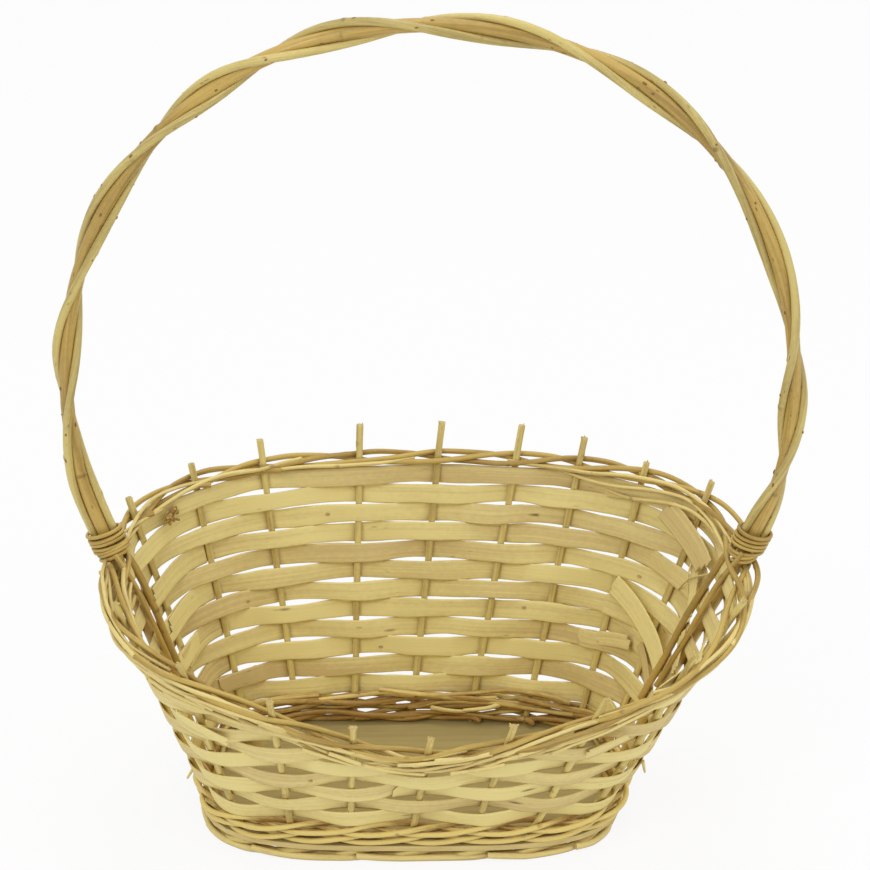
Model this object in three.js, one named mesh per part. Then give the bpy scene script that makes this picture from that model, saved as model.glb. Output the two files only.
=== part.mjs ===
// Gift basket: an oval basket woven from willow rods and flat wood splints on a thin board,
// with a tall fixed hoop handle. The back wall is high and the rim dips to a low front.
// Units are millimetres, +Z is up, +X is to the right and +Y is to the back.

import * as THREE from 'three';

// Fit between pieces that touch in the real basket
const TOUCH_GAP = 0.3;

// Places round the wall. Each holds one stake, but the two end places hold the handle legs.
const SITE_COUNT = 20;
const QUARTER_SITES = SITE_COUNT / 4;
const RIGHT_SITE = 0;
const BACK_SITE = QUARTER_SITES;
const LEFT_SITE = 2 * QUARTER_SITES;
const FRONT_SITE = 3 * QUARTER_SITES;

// Base board
const BOARD_LENGTH = 264;
const BOARD_DEPTH = 148;
const BOARD_THICKNESS = 4;
const BOARD_SQUARENESS = 3.4;
const BOARD_OUTLINE_POINTS = 60;
const HOLE_INSET = 7;
const HOLE_CLEARANCE = 0.6;
const HOLE_SIDES = 8;

// The board sits a little to the left of the rim's middle, as hand-made baskets do
const BASE_SHIFT = -11;

// Wall: outline of the stakes at the flare height, which is measured above the board
const FLARE_HEIGHT = 166;
const FLARE_LENGTH = 386;
const FLARE_BACK_DEPTH = 126.5;
const FLARE_FRONT_DEPTH = 121;
const BASE_SQUARENESS = 3.6;
const BACK_SQUARENESS = 2.55;
const FRONT_SQUARENESS = 3.6;

// Rim: height above the board of the middle of the rim wale
const RIM_HEIGHT_BACK = 162.5;
const RIM_HEIGHT_FRONT = 80.5;
const RIM_DIP_POWER = 0.9;

// Willow stakes
const STAKE_DIAMETER = 4;
const ROD_SIDES = 6;

// The stakes stand a little closer together at the two ends of the board
const END_CROWDING = 1.13;

// How far each upright leans round the wall at the flare height, as a share of the spacing
const STAKE_LEANS = [
  0, 0.4, 0.34, 0.16, -0.07, -0.12, -0.16, 0.03, -0.07, 0,
  0, 0.1, 0.18, 0.2, 0.2, 0.2, 0.2, 0.2, 0.15, 0,
];

// Length of each stake's tip past the rim, by place round the wall from the right end
const TIP_LENGTHS = [0, 13, 9, 17, 21, 22, 21, 17, 12, 13, 0, 13, 12, 14, 15, 15, 16, 14, 13, 12];

// Foot border under the board
const ELBOW_RADIUS = 3.5;
const TAIL_SIDE_GAP = 0.5;
const TAIL_REST_SHARE = 0.3;
const TAIL_REST_END_SHARE = 0.58;
const TAIL_RISE_SHARE = 0.66;
const TAIL_END_SHARE = 2.13;

// Wale rods
const WALE_DIAMETER = 3;
const WALE_EASE_FACTOR = 1.08;
const WALE_STEPS_PER_SITE = 2;
const WALE_END_SHARE = 0.03;
const WALE_RODS = 3;
const BASE_WALE_STARTS = [2, 11];
const RIM_WALE_START = 7;

// Flat splints
const SPLINT_ROWS = 12;
const SPLINT_ROW_GAP = 0.9;
const SPLINT_THICKNESS = 1;
const SPLINT_STEPS_PER_SITE = 3;
const SPLINT_SLACK = 0.1;
const SPLINT_LAP_SHARE = 0.4;
const SPLINT_LAP_SITES = 7;
const SPLINT_END_HEIGHT = 3.5;
const SPLINT_END_SHARE = 0.35;

// Handle hoop, its middle line in the plane of the two end places
const HOOP_WIDTH = 438;
const HOOP_SHIFT = 1;
const HOOP_RISE = 241;
const HOOP_CENTRE_HEIGHT = 282.5;
const HOOP_SQUARENESS = 2.09;
const HOOP_LOWEST_ANGLE = -12;
const HANDLE_CORE_DIAMETER = 8;
const LEG_FOOT_DIAMETER = 5.2;
const CORE_SIDES = 8;
const CORE_STEP = 18;
const TWIST_DIAMETER = 4.5;
const TWIST_STEP = 12;
const TWIST_SLACK = 0.3;

// Angles round the hoop at which the two thin rods cross over the core
const TWIST_CROSSINGS = [-13, 8, 41.5, 67, 90, 111, 131, 160.5, 183.5];
const TWIST_END_ANGLES = [-24, 204];

// Bindings at the handle joints
const BINDING_DIAMETER = 2.4;
const BINDING_TURNS = 4;
const BINDING_PITCH = 3.1;
const BINDING_STEPS = 24;
const BINDING_RISE = 2.2;

// Heights and radii worked out from the sizes above
const stakeRadius = STAKE_DIAMETER / 2;
const flatFactor = Math.cos(Math.PI / ROD_SIDES);
const tailLow = stakeRadius * flatFactor;
const tailHigh = tailLow + STAKE_DIAMETER + TOUCH_GAP;
const boardBottom = tailHigh + stakeRadius + TOUCH_GAP;
const boardTop = boardBottom + BOARD_THICKNESS;
const waleRadius = WALE_DIAMETER / 2;
const waleRise = WALE_EASE_FACTOR * (WALE_DIAMETER + 1.5 * TOUCH_GAP) / (2 * Math.sin(Math.PI / 3));
const waleHalfBand = waleRise + waleRadius;
const baseWaleBand = BASE_WALE_STARTS.length * (2 * waleHalfBand + TOUCH_GAP);
const coreRadius = HANDLE_CORE_DIAMETER / 2;
const hoopCentre = boardTop + HOOP_CENTRE_HEIGHT;

const COLOURS = {
  board: 0xc9bd95,
  stake: 0xd8c583,
  wale: 0xc2a266,
  splint: 0xdcc98c,
  core: 0xc9a45e,
  twist: 0xd9c47c,
  binding: 0xcdb26a,
};

const group = new THREE.Group();
group.name = 'gift_basket';

// Rounded-oblong outlines, used through the share of a quarter's length so that places spread evenly

function quarterOutline(halfLength, halfDepth, squareness) {
  const steps = 240;
  const points = [];
  for (let i = 0; i <= steps; i++) {
    const angle = (i / steps) * Math.PI / 2;
    const x = halfLength * Math.pow(Math.abs(Math.cos(angle)), 2 / squareness);
    const y = halfDepth * Math.pow(Math.abs(Math.sin(angle)), 2 / squareness);
    points.push(new THREE.Vector2(i === steps ? 0 : x, i === 0 ? 0 : y));
  }
  const lengths = [0];
  for (let i = 1; i <= steps; i++) {
    lengths.push(lengths[i - 1] + points[i].distanceTo(points[i - 1]));
  }
  return function at(share) {
    const wanted = THREE.MathUtils.clamp(share, 0, 1) * lengths[steps];
    let low = 0;
    let high = steps;
    while (high - low > 1) {
      const middle = (low + high) >> 1;
      if (lengths[middle] <= wanted) low = middle;
      else high = middle;
    }
    const part = (wanted - lengths[low]) / (lengths[high] - lengths[low]);
    return points[low].clone().lerp(points[high], part);
  };
}

function ovalOutline(backQuarter, frontQuarter, crowding) {
  return function at(place) {
    const turn = THREE.MathUtils.euclideanModulo(place, SITE_COUNT) / QUARTER_SITES;
    const quarter = Math.min(3, Math.floor(turn));
    const part = turn - quarter;
    const fromEnd = quarter % 2 === 0 ? part : 1 - part;
    const signsX = [1, -1, -1, 1];
    const signsY = [1, 1, -1, -1];
    const point = (quarter < 2 ? backQuarter : frontQuarter)(fromEnd ** crowding);
    return new THREE.Vector2(point.x * signsX[quarter], point.y * signsY[quarter]);
  };
}

const baseQuarter = quarterOutline(
  BOARD_LENGTH / 2 - HOLE_INSET, BOARD_DEPTH / 2 - HOLE_INSET, BASE_SQUARENESS);
const baseOval = ovalOutline(baseQuarter, baseQuarter, END_CROWDING);
const flareOval = ovalOutline(
  quarterOutline(FLARE_LENGTH / 2, FLARE_BACK_DEPTH, BACK_SQUARENESS),
  quarterOutline(FLARE_LENGTH / 2, FLARE_FRONT_DEPTH, FRONT_SQUARENESS), 1);

// Point on the wall's middle surface at a place round the wall and a height above the floor

function leanAt(place) {
  const turned = THREE.MathUtils.euclideanModulo(place, SITE_COUNT);
  const site = Math.floor(turned);
  const next = (site + 1) % SITE_COUNT;
  return THREE.MathUtils.lerp(STAKE_LEANS[site], STAKE_LEANS[next], turned - site);
}

function wallPoint(place, height) {
  const share = (height - boardTop) / FLARE_HEIGHT;
  const base = baseOval(place);
  const flare = flareOval(place + leanAt(place));
  return new THREE.Vector3(
    (base.x + BASE_SHIFT) * (1 - share) + flare.x * share,
    base.y * (1 - share) + flare.y * share,
    height);
}

function outward(place, height) {
  const step = 0.02;
  const along = wallPoint(place + step, height).sub(wallPoint(place - step, height));
  return new THREE.Vector3(along.y, -along.x, 0).normalize();
}

// Direction square to the leaning wall, and a point at a distance from the wall's middle surface

function wallNormal(place, height) {
  const level = outward(place, height);
  const along = new THREE.Vector3(-level.y, level.x, 0);
  const up = wallPoint(place, height + 1).sub(wallPoint(place, height));
  return along.cross(up).normalize();
}

function offWall(place, height, offset) {
  return wallPoint(place, height).addScaledVector(wallNormal(place, height), offset);
}

function wallLean(place) {
  const rise = wallPoint(place, boardTop + FLARE_HEIGHT).sub(wallPoint(place, boardTop));
  return rise.angleTo(new THREE.Vector3(0, 0, 1));
}

const steepestLean = Math.max(wallLean(RIGHT_SITE), wallLean(LEFT_SITE));
const splintDrop = (LEG_FOOT_DIAMETER / 2 + TOUCH_GAP + SPLINT_THICKNESS) * Math.sin(steepestLean);
const firstRowBottom = boardTop + TOUCH_GAP + baseWaleBand + splintDrop;
const legTop = boardTop + RIM_HEIGHT_BACK + waleHalfBand + TOUCH_GAP;

function rimHeight(place) {
  const fromFront = Math.abs(THREE.MathUtils.euclideanModulo(place, SITE_COUNT) - FRONT_SITE);
  const share = Math.min(1, fromFront / QUARTER_SITES);
  const rise = (1 - Math.cos(Math.PI * share ** RIM_DIP_POWER)) / 2;
  return boardTop + THREE.MathUtils.lerp(RIM_HEIGHT_FRONT, RIM_HEIGHT_BACK, rise);
}

function rimSlopeFactor(place) {
  const step = 0.05;
  const before = wallPoint(place - step, rimHeight(place - step));
  const after = wallPoint(place + step, rimHeight(place + step));
  const run = after.sub(before);
  return run.length() / Math.hypot(run.x, run.y);
}

function isHandleSite(site) {
  const turned = THREE.MathUtils.euclideanModulo(site, SITE_COUNT);
  return turned === RIGHT_SITE || turned === LEFT_SITE;
}

function legRadius(height) {
  const share = THREE.MathUtils.clamp((height - boardTop) / RIM_HEIGHT_BACK, 0, 1);
  return THREE.MathUtils.lerp(LEG_FOOT_DIAMETER / 2, coreRadius, share);
}

function uprightRadius(site, height) {
  return isHandleSite(site) ? legRadius(height) : stakeRadius;
}

// Builds one closed body from rings of points, with flat ends

function loft(rings) {
  const sides = rings[0].length;
  const positions = [];
  const indices = [];
  for (const ring of rings) {
    for (const point of ring) positions.push(point.x, point.y, point.z);
  }
  for (let r = 0; r < rings.length - 1; r++) {
    for (let s = 0; s < sides; s++) {
      const a = r * sides + s;
      const b = r * sides + (s + 1) % sides;
      indices.push(a, b, b + sides, a, b + sides, a + sides);
    }
  }
  const last = (rings.length - 1) * sides;
  for (let s = 1; s < sides - 1; s++) {
    indices.push(0, s + 1, s);
    indices.push(last, last + s, last + s + 1);
  }
  const geometry = new THREE.BufferGeometry();
  geometry.setAttribute('position', new THREE.Float32BufferAttribute(positions, 3));
  geometry.setIndex(indices);
  geometry.computeVertexNormals();
  return geometry;
}

// A round rod along a path. Each path entry has its point, the direction that its first side
// faces and its radius.

function rod(path, sides) {
  const rings = path.map((entry, i) => {
    const before = path[Math.max(0, i - 1)].point;
    const after = path[Math.min(path.length - 1, i + 1)].point;
    const into = entry.point.clone().sub(before).normalize();
    const outOf = after.clone().sub(entry.point).normalize();
    const along = into.add(outOf).normalize();
    const across = entry.facing.clone().addScaledVector(along, -entry.facing.dot(along)).normalize();
    const other = along.clone().cross(across);
    const ring = [];
    for (let s = 0; s < sides; s++) {
      const angle = (s / sides) * 2 * Math.PI;
      ring.push(entry.point.clone()
        .addScaledVector(across, entry.radius * Math.cos(angle))
        .addScaledVector(other, entry.radius * Math.sin(angle)));
    }
    return ring;
  });
  return loft(rings);
}

function addPiece(name, geometry, colour) {
  const material = new THREE.MeshStandardMaterial({ color: colour, roughness: 0.7 });
  const mesh = new THREE.Mesh(geometry, material);
  mesh.name = name;
  group.add(mesh);
}

function numbered(prefix, number) {
  return `${prefix}_${String(number).padStart(2, '0')}`;
}

// Base board with its ring of stake holes

const stakeSites = [];
for (let site = 0; site < SITE_COUNT; site++) {
  if (!isHandleSite(site)) stakeSites.push(site);
}

function buildBoard() {
  const quarter = quarterOutline(BOARD_LENGTH / 2, BOARD_DEPTH / 2, BOARD_SQUARENESS);
  const oval = ovalOutline(quarter, quarter, 1);
  const outline = [];
  for (let i = 0; i < BOARD_OUTLINE_POINTS; i++) {
    const point = oval((i / BOARD_OUTLINE_POINTS) * SITE_COUNT);
    outline.push(new THREE.Vector2(point.x + BASE_SHIFT, point.y));
  }
  const shape = new THREE.Shape(outline);
  for (const site of stakeSites) {
    const centre = wallPoint(site, boardTop);
    const radius = stakeRadius + HOLE_CLEARANCE;
    const rim = [];
    for (let s = 0; s < HOLE_SIDES; s++) {
      const angle = -(s / HOLE_SIDES) * 2 * Math.PI;
      rim.push(new THREE.Vector2(
        centre.x + radius * Math.cos(angle), centre.y + radius * Math.sin(angle)));
    }
    shape.holes.push(new THREE.Path(rim));
  }
  const geometry = new THREE.ExtrudeGeometry(shape, { depth: BOARD_THICKNESS, bevelEnabled: false });
  geometry.translate(0, 0, boardBottom);
  addPiece('base_board', geometry, COLOURS.board);
}

// One stake: tip, upright in the wall, shank through the board, elbow and tail. Under the board
// each tail starts low, crosses below the tail before it, rises outside the next stake and ends
// high, behind the stake after that.

function tailPlace(order, run) {
  const count = stakeSites.length;
  const leg = Math.floor(run);
  const from = stakeSites[(order + leg) % count] + SITE_COUNT * Math.floor((order + leg) / count);
  const to = stakeSites[(order + leg + 1) % count] + SITE_COUNT * Math.floor((order + leg + 1) / count);
  return THREE.MathUtils.lerp(from, to, run - leg);
}

function tailOffset(run, firstRun) {
  const side = STAKE_DIAMETER + TAIL_SIDE_GAP;
  if (run <= 1) return side * (run - firstRun) / (1 - firstRun);
  return side * Math.max(-1, 1 - 2 * (run - 1));
}

function tailHeight(run) {
  const share = THREE.MathUtils.clamp((run - TAIL_RISE_SHARE) / (1 - TAIL_RISE_SHARE), 0, 1);
  return THREE.MathUtils.lerp(tailLow, tailHigh, share);
}

function buildStake(order) {
  const site = stakeSites[order];
  const foot = wallPoint(site, boardTop);
  const facing = outward(site, boardTop);
  const along = new THREE.Vector3(-facing.y, facing.x, 0);
  const path = [];
  const tipHeight = rimHeight(site) + TIP_LENGTHS[site];
  path.push({ point: wallPoint(site, tipHeight), facing, radius: stakeRadius });
  path.push({ point: wallPoint(site, boardTop + TOUCH_GAP), facing, radius: stakeRadius });
  for (const turn of [0, 30, 60]) {
    const angle = THREE.MathUtils.degToRad(turn);
    const point = foot.clone().addScaledVector(along, ELBOW_RADIUS * (1 - Math.cos(angle)));
    point.z = tailLow + ELBOW_RADIUS * (1 - Math.sin(angle));
    path.push({ point, facing, radius: stakeRadius });
  }
  const spacing = wallPoint(tailPlace(order, 1), boardTop).distanceTo(foot);
  const firstRun = ELBOW_RADIUS / spacing;
  const longGap = tailPlace(order, 1) - tailPlace(order, 0) > 1.5;
  const runs = [firstRun, TAIL_REST_SHARE, TAIL_REST_END_SHARE, TAIL_RISE_SHARE, 1];
  runs.push(1 + 1 / 3, 1 + 2 / 3, 2, TAIL_END_SHARE);
  if (longGap) runs.splice(1, 0, (firstRun + TAIL_REST_SHARE) / 2);
  for (const run of runs) {
    const place = tailPlace(order, run);
    const facingHere = outward(place, boardTop);
    const point = wallPoint(place, boardTop).addScaledVector(facingHere, tailOffset(run, firstRun));
    point.z = tailHeight(run);
    path.push({ point, facing: facingHere, radius: stakeRadius });
  }
  addPiece(numbered('stake', order + 1), rod(path, ROD_SIDES), COLOURS.stake);
}

// Three-rod wale. Each rod turns a third of a circle from place to place: inside one upright,
// then outside the next two. A rod ends where the next one starts, inside an upright.

function waleReach(place, height) {
  const site = Math.floor(place);
  const share = (1 - Math.cos(Math.PI * (place - site))) / 2;
  const here = uprightRadius(site, height);
  const next = uprightRadius(site + 1, height);
  return (THREE.MathUtils.lerp(here, next, share) + waleRadius + TOUCH_GAP) * WALE_EASE_FACTOR;
}

function buildWaleRod(name, start, index, heightAt, slopeAt) {
  const first = start + index;
  const following = index === WALE_RODS - 1 ? start : first + 1;
  const last = SITE_COUNT + following - WALE_END_SHARE;
  const path = [];
  const stepCount = Math.ceil((last - first) * WALE_STEPS_PER_SITE);
  for (let i = 0; i <= stepCount; i++) {
    const place = Math.min(last, first + i / WALE_STEPS_PER_SITE);
    const angle = Math.PI * (1 + 2 * (place - first) / 3);
    const height = heightAt(place);
    const reach = waleReach(place, height);
    const offset = reach / 3 + reach * 4 / 3 * Math.cos(angle);
    const lift = waleRise * slopeAt(place) * Math.sin(angle);
    const level = outward(place, height);
    const lean = level.angleTo(wallNormal(place, height));
    const point = wallPoint(place, height + lift).addScaledVector(level, offset / Math.cos(lean));
    path.push({ point, facing: level, radius: waleRadius });
  }
  addPiece(name, rod(path, ROD_SIDES), COLOURS.wale);
}

function buildBaseWale() {
  for (let round = 0; round < BASE_WALE_STARTS.length; round++) {
    const height = boardTop + TOUCH_GAP + waleHalfBand + round * (2 * waleHalfBand + TOUCH_GAP);
    for (let index = 0; index < WALE_RODS; index++) {
      const number = round * WALE_RODS + index + 1;
      buildWaleRod(
        numbered('base_wale_rod', number), BASE_WALE_STARTS[round], index, () => height, () => 1);
    }
  }
}

function buildRimWale() {
  for (let index = 0; index < WALE_RODS; index++) {
    buildWaleRod(
      numbered('rim_wale_rod', index + 1), RIM_WALE_START, index, rimHeight, rimSlopeFactor);
  }
}

// Flat splint rows, woven over one upright and under the next. The rows fill the back wall from
// the base wale to the rim wale.

function weaveOffset(place, height, row) {
  const site = Math.floor(place);
  const part = place - site;
  const side = (site + row) % 2 === 0 ? 1 : -1;
  const lift = TOUCH_GAP + SPLINT_THICKNESS / 2 + SPLINT_SLACK;
  const here = uprightRadius(site, height) + lift;
  const next = uprightRadius(site + 1, height) + lift;
  const fade = Math.cos(Math.PI * part / 2) ** 2;
  return side * (here * fade - next * (1 - fade));
}

function underRim(place) {
  return rimHeight(place) - (waleHalfBand + TOUCH_GAP) * rimSlopeFactor(place) - TOUCH_GAP;
}

const splintPitch = (underRim(BACK_SITE) + SPLINT_ROW_GAP - firstRowBottom) / SPLINT_ROWS;
const splintHeight = splintPitch - SPLINT_ROW_GAP;

function splintRing(place, bottom, top, offset) {
  const half = SPLINT_THICKNESS / 2;
  return [
    offWall(place, bottom, offset - half),
    offWall(place, top, offset - half),
    offWall(place, top, offset + half),
    offWall(place, bottom, offset + half),
  ];
}

function steppedPlaces(from, to, steps) {
  const places = [from];
  for (let i = Math.floor(from * steps) + 1; i / steps < to - 0.05; i++) {
    if (i / steps > from + 0.05) places.push(i / steps);
  }
  places.push(to);
  return places;
}

function buildSplintRow(row) {
  const bottom = firstRowBottom + row * splintPitch;
  const top = bottom + splintHeight;
  const middle = (bottom + top) / 2;
  const name = numbered('splint_row', row + 1);
  const rings = [];
  if (underRim(FRONT_SITE) - bottom > SPLINT_END_HEIGHT) {
    const lapSite = SITE_COUNT + (SPLINT_LAP_SITES * row + 1) % SITE_COUNT;
    const from = lapSite - SPLINT_LAP_SHARE;
    const to = lapSite + SITE_COUNT + SPLINT_LAP_SHARE;
    for (const place of steppedPlaces(from, to, SPLINT_STEPS_PER_SITE)) {
      const lapShare = THREE.MathUtils.clamp((place - (to - 1)) / (1 - 2 * SPLINT_LAP_SHARE), 0, 1);
      const lap = lapShare * (SPLINT_THICKNESS + TOUCH_GAP);
      const offset = weaveOffset(place, middle, row) - lap;
      rings.push(splintRing(place, bottom, Math.min(top, underRim(place)), offset));
    }
  } else {
    let reach = 0;
    while (underRim(SITE_COUNT - reach - 0.02) - bottom > SPLINT_END_HEIGHT) reach += 0.02;
    const wholeSites = Math.floor(reach - SPLINT_END_SHARE / 2);
    const end = Math.min(reach, wholeSites + SPLINT_END_SHARE + 0.5);
    const from = SITE_COUNT - end;
    const to = SITE_COUNT + LEFT_SITE + end;
    for (const place of steppedPlaces(from, to, SPLINT_STEPS_PER_SITE)) {
      const trimmedTop = Math.min(top, underRim(place));
      rings.push(splintRing(place, bottom, trimmedTop, weaveOffset(place, middle, row)));
    }
  }
  addPiece(name, loft(rings), COLOURS.splint);
}

// Handle: the core rod rises from the board through the right wall, bends over and goes down
// through the left wall. Two thin rods twist round it between the bindings.

function hoopPoint(degrees) {
  const angle = THREE.MathUtils.degToRad(degrees);
  const x = Math.sign(Math.cos(angle)) * Math.abs(Math.cos(angle)) ** (2 / HOOP_SQUARENESS);
  const z = Math.sign(Math.sin(angle)) * Math.abs(Math.sin(angle)) ** (2 / HOOP_SQUARENESS);
  return new THREE.Vector3(HOOP_SHIFT + HOOP_WIDTH / 2 * x, 0, hoopCentre + HOOP_RISE * z);
}

function legPoints(site) {
  const points = [];
  const count = 10;
  const legFoot = boardTop + TOUCH_GAP + LEG_FOOT_DIAMETER / 2 * Math.sin(wallLean(site));
  for (let i = 0; i < count; i++) {
    points.push(wallPoint(site, THREE.MathUtils.lerp(legFoot, legTop, i / (count - 1))));
  }
  return points;
}

const hoopPoints = [];
const hoopSpan = 180 - 2 * HOOP_LOWEST_ANGLE;
const hoopKnots = 12;
for (let i = 0; i <= hoopKnots; i++) {
  hoopPoints.push(hoopPoint(HOOP_LOWEST_ANGLE + hoopSpan * i / hoopKnots));
}
const handleLine = new THREE.CatmullRomCurve3(
  [...legPoints(RIGHT_SITE), ...hoopPoints, ...legPoints(LEFT_SITE).reverse()], false, 'centripetal');
handleLine.arcLengthDivisions = 2000;
const handleLength = handleLine.getLength();

// Place along the handle, as a share of its length, and its outward direction in the hoop's plane

function handleFrame(share) {
  const point = handleLine.getPointAt(share);
  const along = handleLine.getTangentAt(share);
  const outwards = new THREE.Vector3(along.z, 0, -along.x);
  return { point, along, outwards };
}

function hoopAngle(point) {
  const degrees = THREE.MathUtils.radToDeg(Math.atan2(point.z - hoopCentre, point.x - HOOP_SHIFT));
  return degrees < -90 ? degrees + 360 : degrees;
}

function handleShareAtHeight(height, rising) {
  let low = rising ? 0 : 0.5;
  let high = rising ? 0.5 : 1;
  for (let i = 0; i < 40; i++) {
    const middle = (low + high) / 2;
    const above = handleLine.getPointAt(middle).z > height;
    if (above === rising) high = middle;
    else low = middle;
  }
  return (low + high) / 2;
}

function buildCore() {
  const steps = Math.round(handleLength / CORE_STEP);
  const path = [];
  for (let i = 0; i <= steps; i++) {
    const { point, outwards } = handleFrame(i / steps);
    path.push({ point, facing: outwards, radius: legRadius(point.z) });
  }
  addPiece('handle_core', rod(path, CORE_SIDES), COLOURS.core);
}

// Twist of the thin rods round the core, in degrees from the outward direction

function twistAngle(degrees) {
  const angles = [TWIST_END_ANGLES[0], ...TWIST_CROSSINGS, TWIST_END_ANGLES[1]];
  const turns = TWIST_CROSSINGS.map((_, i) => 90 + 180 * i);
  const twists = [0, ...turns, turns[turns.length - 1] + 90];
  if (degrees <= angles[0]) return twists[0];
  for (let i = 1; i < angles.length; i++) {
    if (degrees <= angles[i]) {
      return THREE.MathUtils.mapLinear(degrees, angles[i - 1], angles[i], twists[i - 1], twists[i]);
    }
  }
  return twists[twists.length - 1];
}

const twistRadius = TWIST_DIAMETER / 2;
const twistReach = coreRadius + twistRadius + TOUCH_GAP + TWIST_SLACK;
const twistFoot = legTop + TOUCH_GAP + (twistReach + twistRadius) * Math.sin(steepestLean);

function buildTwist(name, side) {
  const first = handleShareAtHeight(twistFoot, true);
  const last = handleShareAtHeight(twistFoot, false);
  const steps = Math.round((last - first) * handleLength / TWIST_STEP);
  const path = [];
  for (let i = 0; i <= steps; i++) {
    const { point, outwards } = handleFrame(THREE.MathUtils.lerp(first, last, i / steps));
    const angle = THREE.MathUtils.degToRad(twistAngle(hoopAngle(point)) + side);
    const facing = outwards.clone().multiplyScalar(Math.cos(angle));
    facing.y += Math.sin(angle);
    point.addScaledVector(facing, twistReach);
    path.push({ point, facing, radius: twistRadius });
  }
  addPiece(name, rod(path, ROD_SIDES), COLOURS.twist);
}

// Binding: one thin rod wound round the core and the two thin rods just above the rim

const bindingRadius = BINDING_DIAMETER / 2;
const bindingWide = twistReach + twistRadius + bindingRadius + 2 * TOUCH_GAP;
const bindingNarrow = coreRadius + twistRadius + bindingRadius + TOUCH_GAP;

function buildBinding(name, rising) {
  const height = twistFoot + BINDING_RISE;
  const startShare = handleShareAtHeight(height, rising);
  const direction = rising ? 1 : -1;
  const path = [];
  const total = BINDING_TURNS * BINDING_STEPS;
  for (let i = 0; i <= total; i++) {
    const turn = i / BINDING_STEPS;
    const share = startShare + direction * turn * BINDING_PITCH / handleLength;
    const { point, outwards } = handleFrame(share);
    const angle = 2 * Math.PI * turn;
    const facing = outwards.clone().multiplyScalar(Math.cos(angle));
    facing.y += Math.sin(angle);
    point.addScaledVector(outwards, bindingWide * Math.cos(angle));
    point.y += bindingNarrow * Math.sin(angle);
    path.push({ point, facing, radius: bindingRadius });
  }
  addPiece(name, rod(path, ROD_SIDES), COLOURS.binding);
  let least = Infinity;
  for (let i = 0; i < path.length; i++) {
    for (let j = i + BINDING_STEPS / 2; j < path.length; j++) {
      least = Math.min(least, path[i].point.distanceTo(path[j].point));
    }
  }
  console.log(`${name}: least gap to itself ${(least - BINDING_DIAMETER).toFixed(2)} mm`);
}

buildBoard();
for (let order = 0; order < stakeSites.length; order++) buildStake(order);
buildBaseWale();
for (let row = 0; row < SPLINT_ROWS; row++) buildSplintRow(row);
buildRimWale();
buildCore();
buildTwist('handle_twist_rod_01', 0);
buildTwist('handle_twist_rod_02', 180);
buildBinding('right_binding', true);
buildBinding('left_binding', false);

// The finished basket stands on the floor with the middle of its box over the origin

group.updateMatrixWorld(true);
const box = new THREE.Box3().setFromObject(group, true);
const middleX = (box.min.x + box.max.x) / 2;
const middleY = (box.min.y + box.max.y) / 2;
let triangles = 0;
for (const mesh of group.children) {
  mesh.geometry.translate(-middleX, -middleY, 0);
  const geometry = mesh.geometry;
  triangles += (geometry.index ? geometry.index.count : geometry.attributes.position.count) / 3;
}
console.log(`moved by ${(-middleX).toFixed(2)}, ${(-middleY).toFixed(2)}; triangles ${triangles}`);

export default group;
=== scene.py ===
"""Gift basket: the finished look of an oval willow and splint basket with a twisted hoop handle."""

import math
import random

import bpy
import numpy as np
from bpy.props import FloatProperty, FloatVectorProperty, IntProperty, PointerProperty
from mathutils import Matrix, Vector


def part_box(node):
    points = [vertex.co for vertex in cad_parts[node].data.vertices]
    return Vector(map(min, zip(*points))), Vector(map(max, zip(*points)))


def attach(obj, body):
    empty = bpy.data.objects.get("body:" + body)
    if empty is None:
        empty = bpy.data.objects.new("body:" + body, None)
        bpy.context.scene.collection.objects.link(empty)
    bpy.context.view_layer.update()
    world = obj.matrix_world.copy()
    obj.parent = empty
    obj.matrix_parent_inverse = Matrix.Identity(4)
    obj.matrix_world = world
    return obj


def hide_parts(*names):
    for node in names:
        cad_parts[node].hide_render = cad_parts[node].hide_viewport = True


bl_info = {
    "name": "Gift basket",
    "version": (1, 0, 0),
    "blender": (4, 5, 0),
    "location": "3D View > Sidebar > Basket",
    "description": "Makes a woven willow gift basket with a tall hoop handle",
    "category": "Add Mesh",
}

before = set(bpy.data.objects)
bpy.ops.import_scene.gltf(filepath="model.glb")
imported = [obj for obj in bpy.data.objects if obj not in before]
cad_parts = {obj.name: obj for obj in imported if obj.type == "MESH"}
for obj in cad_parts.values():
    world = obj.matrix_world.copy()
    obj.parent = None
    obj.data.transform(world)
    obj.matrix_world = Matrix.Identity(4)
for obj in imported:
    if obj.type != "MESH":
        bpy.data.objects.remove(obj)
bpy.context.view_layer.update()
BOARD_LOW, BOARD_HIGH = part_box("base_board")

# Places round the wall, counted counter-clockwise from the right end
SITE_COUNT = 20
QUARTER_SITES = 5
RIGHT_SITE, BACK_SITE, LEFT_SITE, FRONT_SITE = 0, 5, 10, 15
STAKE_SITES = [site for site in range(SITE_COUNT) if site % LEFT_SITE]

# The gap that touching pieces keep
TOUCH_GAP = 0.0003

# The ovals' powers, where 2 is an ellipse and more is squarer, and the power by which the stakes
# crowd towards the ends of the base
BASE_SQUARENESS, BACK_SQUARENESS, FRONT_SQUARENESS = 3.6, 2.55, 3.6
END_CROWDING = 1.13

# How far each site leans sideways up to the flare, in sites, and how far its stake's tip stands
# over the rim, in millimetres
STAKE_LEANS = [0, 0.4, 0.34, 0.16, -0.07, -0.12, -0.16, 0.03, -0.07, 0,
               0, 0.1, 0.18, 0.2, 0.2, 0.2, 0.2, 0.2, 0.15, 0]
TIP_LENGTHS = [0, 13, 9, 17, 21, 22, 21, 17, 12, 13, 0, 13, 12, 14, 15, 15, 16, 14, 13, 12]

# The power that shapes the rim's dip to the front
RIM_DIP_POWER = 0.9

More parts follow.
